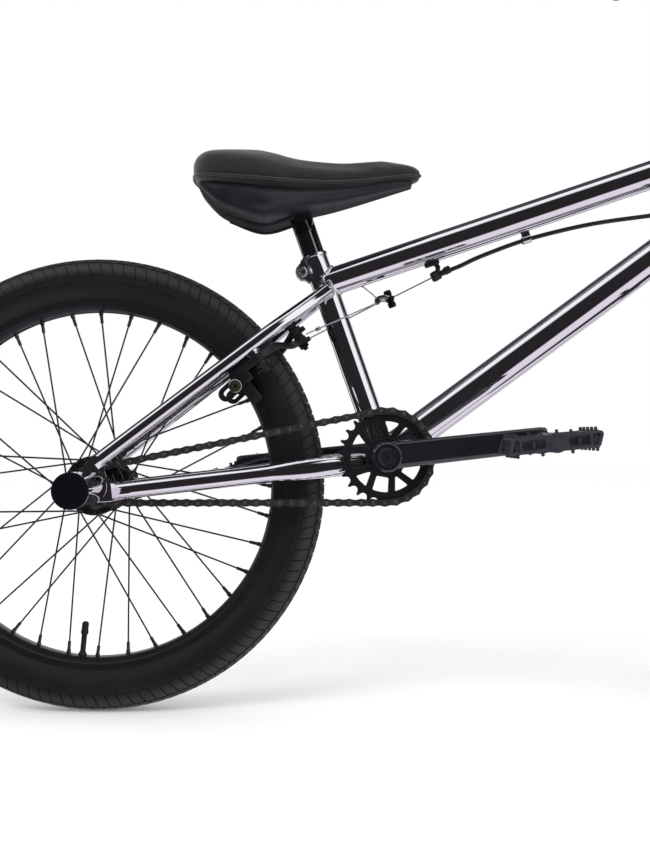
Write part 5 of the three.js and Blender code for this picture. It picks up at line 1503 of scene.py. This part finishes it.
def build_yoke():
    wires = Form()
    for side in (1, -1):
        end = BRAKE @ Vector((-26 * side, 60, 26.5 - side))
        catch = HANGER + Vector((-9, -side * 3.2, -2.5))
        wires.add(sweep([end, catch, HANGER + Vector((-1, -side * 2.4, -2.6))], (0.8, 0.8), sides=8))
    wires.add(straight(HANGER + PULL * 2, CABLE_STOP - PULL * 2, 0.8, sides=10))
    tail = [HANGER + Vector(p) for p in ((-2, 0, -3), (-12, 1.5, -1), (-20, 2.5, 6), (-30, 3, 14))]
    wires.add(sweep(smooth_path(tail, 6), (0.7, 0.7), sides=8))
    wires.add(along(turned(rounded(0, 5, 1.3, 0.4), 12), Vector(tail[-1]), Vector((-0.7, 0, 0.6))))
    piece("straddle_wires", wires, "yoke", STEEL, ["straddle_hanger"])
    lean = Vector((0.36, 0, -0.93)).normalized()
    knob = [(0, -10), (3.4, -10), (4.2, -9.2), (4.5, -5), (3.9, -4.2), (3.9, -2.6), (5.3, -2), (5.3, 2.4), (3.9, 3),
            (3.9, 4.4), (4.6, 5), (4.6, 9), (3.8, 10.2), (0, 10.6)]
    piece("hanger_bolt", along(turned(knob, 32), HANGER, lean), "yoke", CAP)
    cheeks = Form()
    for side in (1, -1):
        path = [HANGER + Vector(p) for p in ((2, side * 3.4, 0), (-6, side * 4.6, 2), (-13, side * 4.4, 0.5),
                                             (-16, side * 2, -2))]
        cheeks.add(sweep(smooth_path(path, 6), (1.1, 2.2), sides=12))
    cheeks.add(straight(HANGER + Vector((-14, -5.5, -3)), HANGER + Vector((-14, 5.5, -3)), 3.2, sides=24))
    piece("hanger_fork", cheeks, "yoke", STEEL)
    end, catch = BRAKE @ Vector((-26, 60, 25.5)), HANGER + Vector((-9, -3.2, -2.5))
    piece("straddle_bead", along(turned(rounded(-3, 3, 2.2, 0.9), 16), end.lerp(catch, 0.16), catch - end), "yoke",
          STEEL)


def build_cable_stop():
    """A black bracket under the top tube, with the adjuster that the housing ends in."""
    tube_way = (TOP_END - SEAT_JUNCTION).normalized()
    under = Y.cross(tube_way)
    foot = CABLE_STOP + Vector((-6, 0, 13))
    form = block(17, 9, 5.4, 1.6).moved(frame_of(foot, -under, tube_way))
    form.add(sweep([foot + Vector((4, 0, 0)), CABLE_STOP + Vector((1, 0, 9)), CABLE_STOP + Vector((0, 0, 2))],
                   (3.4, 2.8), sides=20, power=0.6))
    barrel = [(1.2, -7), (4.6, -7), (5.6, -6), (5.6, 3.2), (4.0, 4.2), (3.2, 5), (3.2, 8), (1.2, 8)]
    form.add(along(turned(barrel, 28, closed=True), CABLE_STOP, PULL))
    form.add(along(hex_nut(11.4, 4.4, 3.0), CABLE_STOP - PULL * 4.6, PULL))
    adjuster = [(1.2, 8), (3.4, 8), (3.4, 9), (4.5, 9.6), (4.5, 15.6), (3.8, 16.6), (1.2, 16.6)]
    form.add(along(turned(adjuster, 28, closed=True), CABLE_STOP, PULL))
    piece("cable_stop", form, "frame", BLACK_ANODISED)


build_brake()
build_yoke()
build_cable_stop()


# ---------------------------------------------------------------- floor and light
def build_floor():
    mesh = bpy.data.meshes.new("floor")
    mesh.from_pydata([(-9, -9, 0), (9, -9, 0), (9, 9, 0), (-9, 9, 0)], [], [(0, 1, 2, 3)])
    floor = bpy.data.objects.new("floor", mesh)
    bpy.context.scene.collection.objects.link(floor)
    material, _, _, shader = nodes_of("floor")
    shader.inputs["Base Color"].default_value = (0.88, 0.88, 0.885, 1)
    shader.inputs["Roughness"].default_value = 0.9
    shader.inputs["Emission Color"].default_value = (1, 1, 1, 1)
    shader.inputs["Emission Strength"].default_value = 0.15
    mesh.materials.append(material)
    floor.visible_glossy = False


def band_ramp(nodes, stops):
    """A ramp with flat bands: each stop is an angle from the viewer in degrees, a tone and how soft its edge is."""
    ramp = nodes.new("ShaderNodeValToRGB")
    ramp.color_ramp.interpolation = "LINEAR"
    elements = ramp.color_ramp.elements
    positions = []
    for (angle, tone, soft), (next_angle, _, next_soft) in zip(stops, [*stops[1:], (180, None, 1)]):
        positions += [(angle + soft, tone), (next_angle - next_soft, tone)]
    while len(elements) < len(positions):
        elements.new(0.5)
    for element, (angle, tone) in zip(elements, positions):
        element.position = max(0.0, min(1.0, angle / 180))
        element.color = (*tone, 1)
    return ramp


def build_world():
    """White to the camera and to matt surfaces; soft boxes and dark flags to polished ones."""
    world = bpy.data.worlds.new("studio")
    bpy.context.scene.world = world
    world.use_nodes = True
    nodes, links = world.node_tree.nodes, world.node_tree.links
    nodes.clear()
    place = nodes.new("ShaderNodeTexCoord")
    split = nodes.new("ShaderNodeSeparateXYZ")
    links.new(place.outputs["Generated"], split.inputs[0])

    def calc(operation, first, second=None):
        node = nodes.new("ShaderNodeMath")
        node.operation = operation
        for socket, value in zip(node.inputs, (first, second)):
            if isinstance(value, (int, float)):
                socket.default_value = value
            elif value is not None:
                links.new(value, socket)
        return node.outputs[0]

    x, y, z = split.outputs
    lean = rad(25)
    away = calc("DIVIDE", calc("ARCCOSINE", calc("MULTIPLY", y, -1.0)), math.pi)
    over = calc("ADD", calc("MULTIPLY", x, -math.sin(lean)), calc("MULTIPLY", z, math.cos(lean)))
    across = calc("ADD", calc("MULTIPLY", x, math.cos(lean)), calc("MULTIPLY", z, math.sin(lean)))
    dark, dusk, grey = (0.022, 0.019, 0.022), (0.06, 0.06, 0.07), (0.24, 0.23, 0.26)
    lilac, white = (0.84, 0.79, 0.88), (1.05, 1.05, 1.08)
    # each side's bands from behind the viewer round to beyond the bike: where one starts, its tone, how soft it is
    above = [(0, dark, 1), (60, white, 5), (89, dusk, 2), (150, white, 2)]
    below = [(0, dark, 1), (36, lilac, 3), (80, grey, 2), (87, lilac, 2), (120, grey, 2), (130, lilac, 2),
             (152, dark, 2)]
    right = [(0, dark, 1), (38, white, 2), (80, grey, 3), (96, dark, 3), (140, white, 2), (154, dark, 2)]
    left = [(0, dark, 1), (126, white, 2), (140, dark, 2)]

    def sector(value, other):
        """1 where the first value is the larger and 0 where it is the smaller, with a soft edge."""
        node = nodes.new("ShaderNodeMapRange")
        node.inputs["From Min"].default_value = -0.04
        node.inputs["From Max"].default_value = 0.04
        links.new(calc("SUBTRACT", value, other), node.inputs["Value"])
        return node.outputs["Result"]

    def choose(factor, first, second):
        node = colour_mix(nodes)
        for name, source in (("Factor", factor), ("A", first), ("B", second)):
            links.new(source, node.inputs[name])
        return node.outputs["Result"]

    tones = []
    for stops in (above, below, right, left):
        ramp = band_ramp(nodes, stops)
        links.new(away, ramp.inputs["Fac"])
        tones.append(ramp.outputs["Color"])
    upright = choose(sector(over, 0.0), tones[1], tones[0])
    sideward = choose(sector(across, 0.0), tones[3], tones[2])
    studio = choose(sector(calc("ABSOLUTE", across), calc("ABSOLUTE", over)), upright, sideward)

    ray = nodes.new("ShaderNodeLightPath")
    polished = nodes.new("ShaderNodeBackground")
    links.new(studio, polished.inputs["Color"])
    plain = nodes.new("ShaderNodeBackground")
    plain.inputs["Color"].default_value = (1, 1, 1, 1)
    plain.inputs["Strength"].default_value = 1.0
    pick = nodes.new("ShaderNodeMixShader")
    links.new(ray.outputs["Is Glossy Ray"], pick.inputs[0])
    links.new(plain.outputs[0], pick.inputs[1])
    links.new(polished.outputs[0], pick.inputs[2])
    output = nodes.new("ShaderNodeOutputWorld")
    links.new(pick.outputs[0], output.inputs["Surface"])
    bpy.context.scene.view_settings.view_transform = "Standard"


def soft_box(name, place, aim, size, power):
    light = bpy.data.lights.new(name, "AREA")
    light.shape = "RECTANGLE"
    light.size, light.size_y = size
    light.energy = power
    holder = bpy.data.objects.new(name, light)
    holder.location = place
    holder.rotation_euler = (Vector(aim) - Vector(place)).to_track_quat("-Z", "Y").to_euler()
    holder.visible_glossy = False
    bpy.context.scene.collection.objects.link(holder)


build_floor()
build_world()
soft_box("key", (-1.4, -1.6, 1.9), (-0.4, 0, 0.35), (1.2, 0.8), 26)
